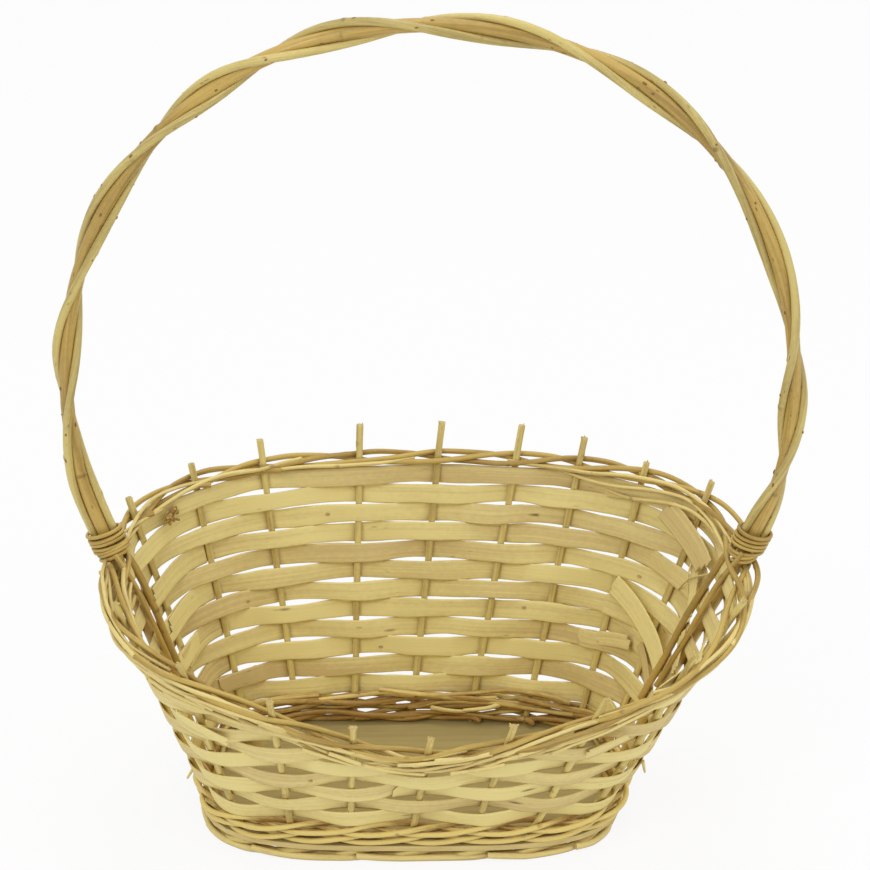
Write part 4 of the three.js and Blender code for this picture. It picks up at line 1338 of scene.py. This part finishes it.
class BASKET_OT_foot_rods(bpy.types.Operator):
    """Lays the loose rods inside the base wale and along the foot border"""

    bl_idname = "basket.foot_rods"
    bl_label = "Loose rods at the foot"

    def execute(self, context):
        _, looks, wall = shared(context)
        wood = rod_wood(looks, "side_rod_wood", looks.strand, speck=0.45)
        lines = inner_base_lines(wall, random.Random(looks.seed * 730))
        sweep(context, "inner_base_rods", lines, bpy.data.materials["base_wale_wood"], sides=10,
              seed=87)
        lines = foot_border_lines(wall, random.Random(looks.seed * 740))
        sweep(context, "foot_border_rods", lines, wood, sides=12, seed=89)
        return {"FINISHED"}


def torn_strip(wall, rng, start, end, width, row, straight):
    """A torn splint end on the wall, split into bands of uneven length."""
    share = np.linspace(0, 1, max(8, round(abs(end[0] - start[0]) * 20)))
    spots = [np.array(start) + (np.array(end) - start) * t for t in share]
    if row is not None:
        for spot in spots:
            spot[2] = wall.weave(spot[0], spot[1], row) - 0.0013
    middle = [wall.beside(*spot) for spot in spots]
    facing = np.array([wall.normal(*spot[:2]) for spot in spots])
    if straight:
        middle = [spot * 0.6 + (middle[0] + (middle[-1] - middle[0]) * t) * 0.4
                  for spot, t in zip(middle, share)]
        facing = unit(facing * 0.6 + unit(facing[0] + facing[-1]) * 0.4)
    bands = 3
    points = smooth_line(middle, FINE_STEP)
    facing = read_between(np.linspace(0, 1, len(points)), share, facing)
    lines = []
    slant = rng.choice((-1, 1)) * rng.uniform(0.2, 0.42) * width
    for band in range(bands):
        side = (band + 0.5) / bands * 2 - 1
        first = 0 if row is not None else round(
            (abs(slant) - slant * side * 0.7 + rng.uniform(0, 0.0015)) / FINE_STEP)
        last = len(points) - round(
            (abs(slant) + slant * side + rng.uniform(0, 0.0024)) / FINE_STEP)
        line = Line(points[first:last], facing[first:last], 0.00045, width / bands / 2 + 0.0007)
        line.points = line.points + line.up * (width / 2 * side) + line.out * rng.uniform(0, 0.0001)
        line.tone += rng.uniform(-0.06, 0.06)
        lines.append(line)
    return lines


def torn_strip_lines(wall, rng):
    """All the torn strips, with those of a row set at its height."""
    lines = []
    for start, end, width, row, straight, tone in TORN_STRIPS:
        if row is not None:
            level = wall.first_row + (row + 0.5) * wall.row_pitch
            start, end = ((place, level + height, away) for place, height, away in (start, end))
        bands = torn_strip(wall, rng, start, end, width, row, straight)
        for line in bands:
            line.tone += tone
        lines += bands
    return lines


def twig(wall, rng, spots, radius):
    """A thin loose rod through spots given as place, height and distance from the wall."""
    points = smooth_line([wall.beside(*spot) for spot in spots], FINE_STEP)
    facing = wall.normal(spots[0][0], spots[0][1])
    line = Line(points, facing, radius)
    taper = np.linspace(1.1, 0.7, len(line.points))
    line.half_out *= taper
    line.half_up *= taper
    return line.natural(rng, 0.0002, tone=rng.uniform(0, 0.6)).cut_ends()


def frayed_tip_lines(wall, rng):
    """Short fibres round the cut tips of the stakes, more and thicker at the front."""
    lines = []
    for site in STAKE_SITES:
        front = site > LEFT_SITE
        tip = wall.point(site, wall.tip_height(site) - 0.0015)
        facing = wall.outward(site, tip[2])
        side = np.cross(facing, (0, 0, 1))
        for _ in range(FRONT_TIP_FIBRES if front else BACK_TIP_FIBRES):
            turn = rng.uniform(0, 2 * math.pi)
            away = side * math.cos(turn) + facing * math.sin(turn)
            reach = rng.uniform(0.0004, 0.0016) if front else rng.uniform(0.0002, 0.0006)
            rise = rng.uniform(0.0008, 0.0026)
            knots = [tip + away * 0.0012 - np.array([0, 0, 0.002]),
                     tip + away * 0.0017 + np.array([0, 0, rise * 0.5]),
                     tip + away * (0.0015 + reach) + np.array([0, 0, rise])]
            lines.append(Line(smooth_line(knots, 0.0008), away,
                              rng.uniform(0.00035, 0.0006) if front else 0.0003))
    return lines


def frayed_side_lines(wall, rng):
    """Fibres that have sprung from the wall near the handle's joints."""
    lines = []
    for place in FRAYED_PLACES:
        for _ in range(SIDE_FIBRES):
            height = rng.uniform(0.122, 0.166)
            at = place + rng.uniform(-0.2, 0.2)
            knots = [wall.beside(at, height, 0.005),
                     wall.beside(at + rng.uniform(-0.12, 0.12), height - 0.008, 0.0075),
                     wall.beside(at + rng.uniform(-0.2, 0.2), height - 0.016,
                                 rng.uniform(0.006, 0.0085))]
            lines.append(Line(smooth_line(knots, 0.0012), wall.outward(at, height),
                              rng.uniform(0.00025, 0.0006)))
    return lines


def torn_knot_lines(wall, rng):
    """A cluster of torn stubs on the inside of the wall, at the back left."""
    lines = []
    for _ in range(TORN_STUBS):
        place = TORN_KNOT[0] + rng.uniform(-0.10, 0.10)
        height = TORN_KNOT[1] + rng.uniform(-0.0035, 0.0035)
        knots = [wall.beside(place, height, -0.0046),
                 wall.beside(place + rng.uniform(-0.10, 0.10),
                             height + rng.uniform(-0.003, 0.003),
                             -rng.uniform(0.0052, 0.0066))]
        line = Line(smooth_line(knots, 0.001), wall.outward(place, height),
                    rng.uniform(0.0006, 0.0011))
        line.tone += rng.uniform(0.7, 1.6)
        lines.append(line)
    return lines


def grown_knot_lines(wall, rng):
    """Small dark knots on the splints."""
    lines = []
    for place, row in GROWN_KNOTS:
        height = wall.first_row + (row + rng.uniform(0.35, 0.65)) * wall.row_pitch
        inside = 1 if place < LEFT_SITE else -1
        near = wall.weave(place, height, row) - inside * 0.0003
        knots = [wall.beside(place, height, near - inside * step)
                 for step in (0, 0.0003, 0.0005)]
        line = Line(smooth_line(knots, KNOT_STEP), (0, 0, 1), 0.0012 * rng.uniform(0.7, 1.1),
                    0.0016)
        line.tone += 2.0
        lines.append(line)
    return lines


class BASKET_OT_loose_ends(bpy.types.Operator):
    """Adds torn splint ends, loose twigs, frayed fibres and the knots of the wall"""

    bl_idname = "basket.loose_ends"
    bl_label = "Loose and frayed ends"

    def execute(self, context):
        _, looks, wall = shared(context)
        rng = random.Random(looks.seed * 800)
        sweep(context, "torn_splint_ends", torn_strip_lines(wall, rng),
              bpy.data.materials["woven_splint_wood"], flat=True, sides=16, uneven=0.1, seed=101)
        wood = rod_wood(looks, "side_rod_wood", looks.strand)
        lines = [twig(wall, rng, spots, radius) for spots, radius in TWIGS]
        sweep(context, "loose_twigs", lines, wood, sides=10, seed=102)
        lines = frayed_tip_lines(wall, rng) + frayed_side_lines(wall, rng)
        for line in lines:
            line.tone += rng.uniform(-0.4, 0.4)
        sweep(context, "frayed_fibres", lines, wood, sides=6, uneven=0.3, seed=103)
        lines = torn_knot_lines(wall, rng) + grown_knot_lines(wall, rng)
        sweep(context, "torn_and_grown_knots", lines, bpy.data.materials["base_wale_wood"],
              sides=8, uneven=0.3, seed=104)
        return {"FINISHED"}


def empty_tree(owner):
    """The node helper of a material or world whose nodes are cleared away."""
    owner.use_nodes = True
    owner.node_tree.nodes.clear()
    return Nodes(owner.node_tree)


def seen_share(n):
    """1 for rays from the camera, also after a mirror or glass, and 0 for light on things."""
    path = n.add("ShaderNodeLightPath").outputs
    mirrored = n.math("MAXIMUM", path["Is Glossy Ray"], path["Is Transmission Ray"])
    return n.math("MAXIMUM", path["Is Camera Ray"], mirrored)


def make_floor(scene):
    """A floor that looks white and still takes shadows."""
    mesh = bpy.data.meshes.new("floor")
    mesh.from_pydata([(-6, -6, 0), (6, -6, 0), (6, 6, 0), (-6, 6, 0)], [], [(0, 1, 2, 3)])
    floor = bpy.data.objects.new("floor", mesh)
    scene.collection.objects.link(floor)
    material = bpy.data.materials.new("pale_floor")
    n = empty_tree(material)
    paint = n.add("ShaderNodeBsdfDiffuse", {"Color": (0.9, 0.9, 0.9, 1)}).outputs[0]
    white = n.add("ShaderNodeEmission", {"Color": (1, 1, 1, 1), "Strength": 1.0}).outputs[0]
    share = n.math("MULTIPLY", seen_share(n), 0.88)
    mixed = n.add("ShaderNodeMixShader", {0: share, 1: paint, 2: white}).outputs[0]
    n.add("ShaderNodeOutputMaterial", {"Surface": mixed})
    mesh.materials.append(material)


def make_sky(scene):
    """An even sky that looks white and shines a little less than it looks."""
    world = bpy.data.worlds.new("soft_light")
    n = empty_tree(world)
    strength = n.math("MULTIPLY_ADD", seen_share(n), 0.35, 0.65)
    sky = n.add("ShaderNodeBackground", {"Color": (1, 1, 1, 1), "Strength": strength})
    n.add("ShaderNodeOutputWorld", {"Surface": sky.outputs[0]})
    scene.world = world


def make_lamp(scene, name, place, aim_height, size, power):
    data = bpy.data.lights.new(name, "AREA")
    data.shape = "DISK"
    data.size = size
    data.energy = power
    lamp = bpy.data.objects.new(name, data)
    lamp.location = place
    look = unit(np.array([0, 0, aim_height]) - np.array(place))
    lamp.rotation_euler = (math.acos(-look[2]), 0, math.atan2(-look[0], look[1]))
    scene.collection.objects.link(lamp)


def make_camera(scene):
    camera = bpy.data.cameras.new("camera")
    camera.sensor_width = CAMERA_SENSOR
    camera.lens = CAMERA_LENS
    camera.clip_end = 50
    eye = bpy.data.objects.new("camera", camera)
    target = np.array(CAMERA_TARGET) + np.array([*Wall(scene.basket_sizes).shift, 0])
    angle = math.radians(CAMERA_ELEVATION)
    eye.location = target + CAMERA_DISTANCE * np.array([0, -math.cos(angle), math.sin(angle)])
    eye.rotation_euler = (math.radians(90 - CAMERA_ELEVATION), 0, 0)
    scene.collection.objects.link(eye)
    scene.camera = eye


class BASKET_OT_stage(bpy.types.Operator):
    """Sets out the floor, the lamps and the camera"""

    bl_idname = "basket.stage"
    bl_label = "Floor, lamps and camera"

    def execute(self, context):
        make_floor(context.scene)
        make_sky(context.scene)
        for lamp in LAMPS:
            make_lamp(context.scene, *lamp)
        make_camera(context.scene)
        context.scene.view_settings.view_transform = "Standard"
        return {"FINISHED"}


class BASKET_PT_panel(bpy.types.Panel):
    """Lists the basket's pieces, sizes and colours"""

    bl_idname = "BASKET_PT_panel"
    bl_label = "Gift basket"
    bl_space_type = "VIEW_3D"
    bl_region_type = "UI"
    bl_category = "Basket"

    def draw(self, context):
        layout = self.layout
        for operator in MAKERS:
            layout.operator(operator.bl_idname)
        for group in (context.scene.basket_sizes, context.scene.basket_looks):
            box = layout.box()
            for name in group.bl_rna.properties.keys():
                if name not in ("rna_type", "name"):
                    box.prop(group, name)


MAKERS = (BASKET_OT_board, BASKET_OT_stakes, BASKET_OT_base_wale, BASKET_OT_splints,
          BASKET_OT_rim_wale, BASKET_OT_side_rods, BASKET_OT_foot_rods, BASKET_OT_handle,
          BASKET_OT_bindings, BASKET_OT_loose_ends, BASKET_OT_stage)
CLASSES = (BasketSizes, BasketLooks, *MAKERS, BASKET_PT_panel)


def register():
    for item in CLASSES:
        bpy.utils.register_class(item)
    bpy.types.Scene.basket_sizes = PointerProperty(type=BasketSizes)
    bpy.types.Scene.basket_looks = PointerProperty(type=BasketLooks)


def unregister():
    del bpy.types.Scene.basket_looks
    del bpy.types.Scene.basket_sizes
    for item in reversed(CLASSES):
        bpy.utils.unregister_class(item)


def main():
    register()
    bpy.ops.basket.board()
    bpy.ops.basket.stakes()
    bpy.ops.basket.base_wale()
    bpy.ops.basket.splints()
    bpy.ops.basket.rim_wale()
    bpy.ops.basket.side_rods()
    bpy.ops.basket.foot_rods()
    bpy.ops.basket.handle()
    bpy.ops.basket.bindings()
    bpy.ops.basket.loose_ends()
    bpy.ops.basket.stage()


if __name__ == "__main__":
    main()
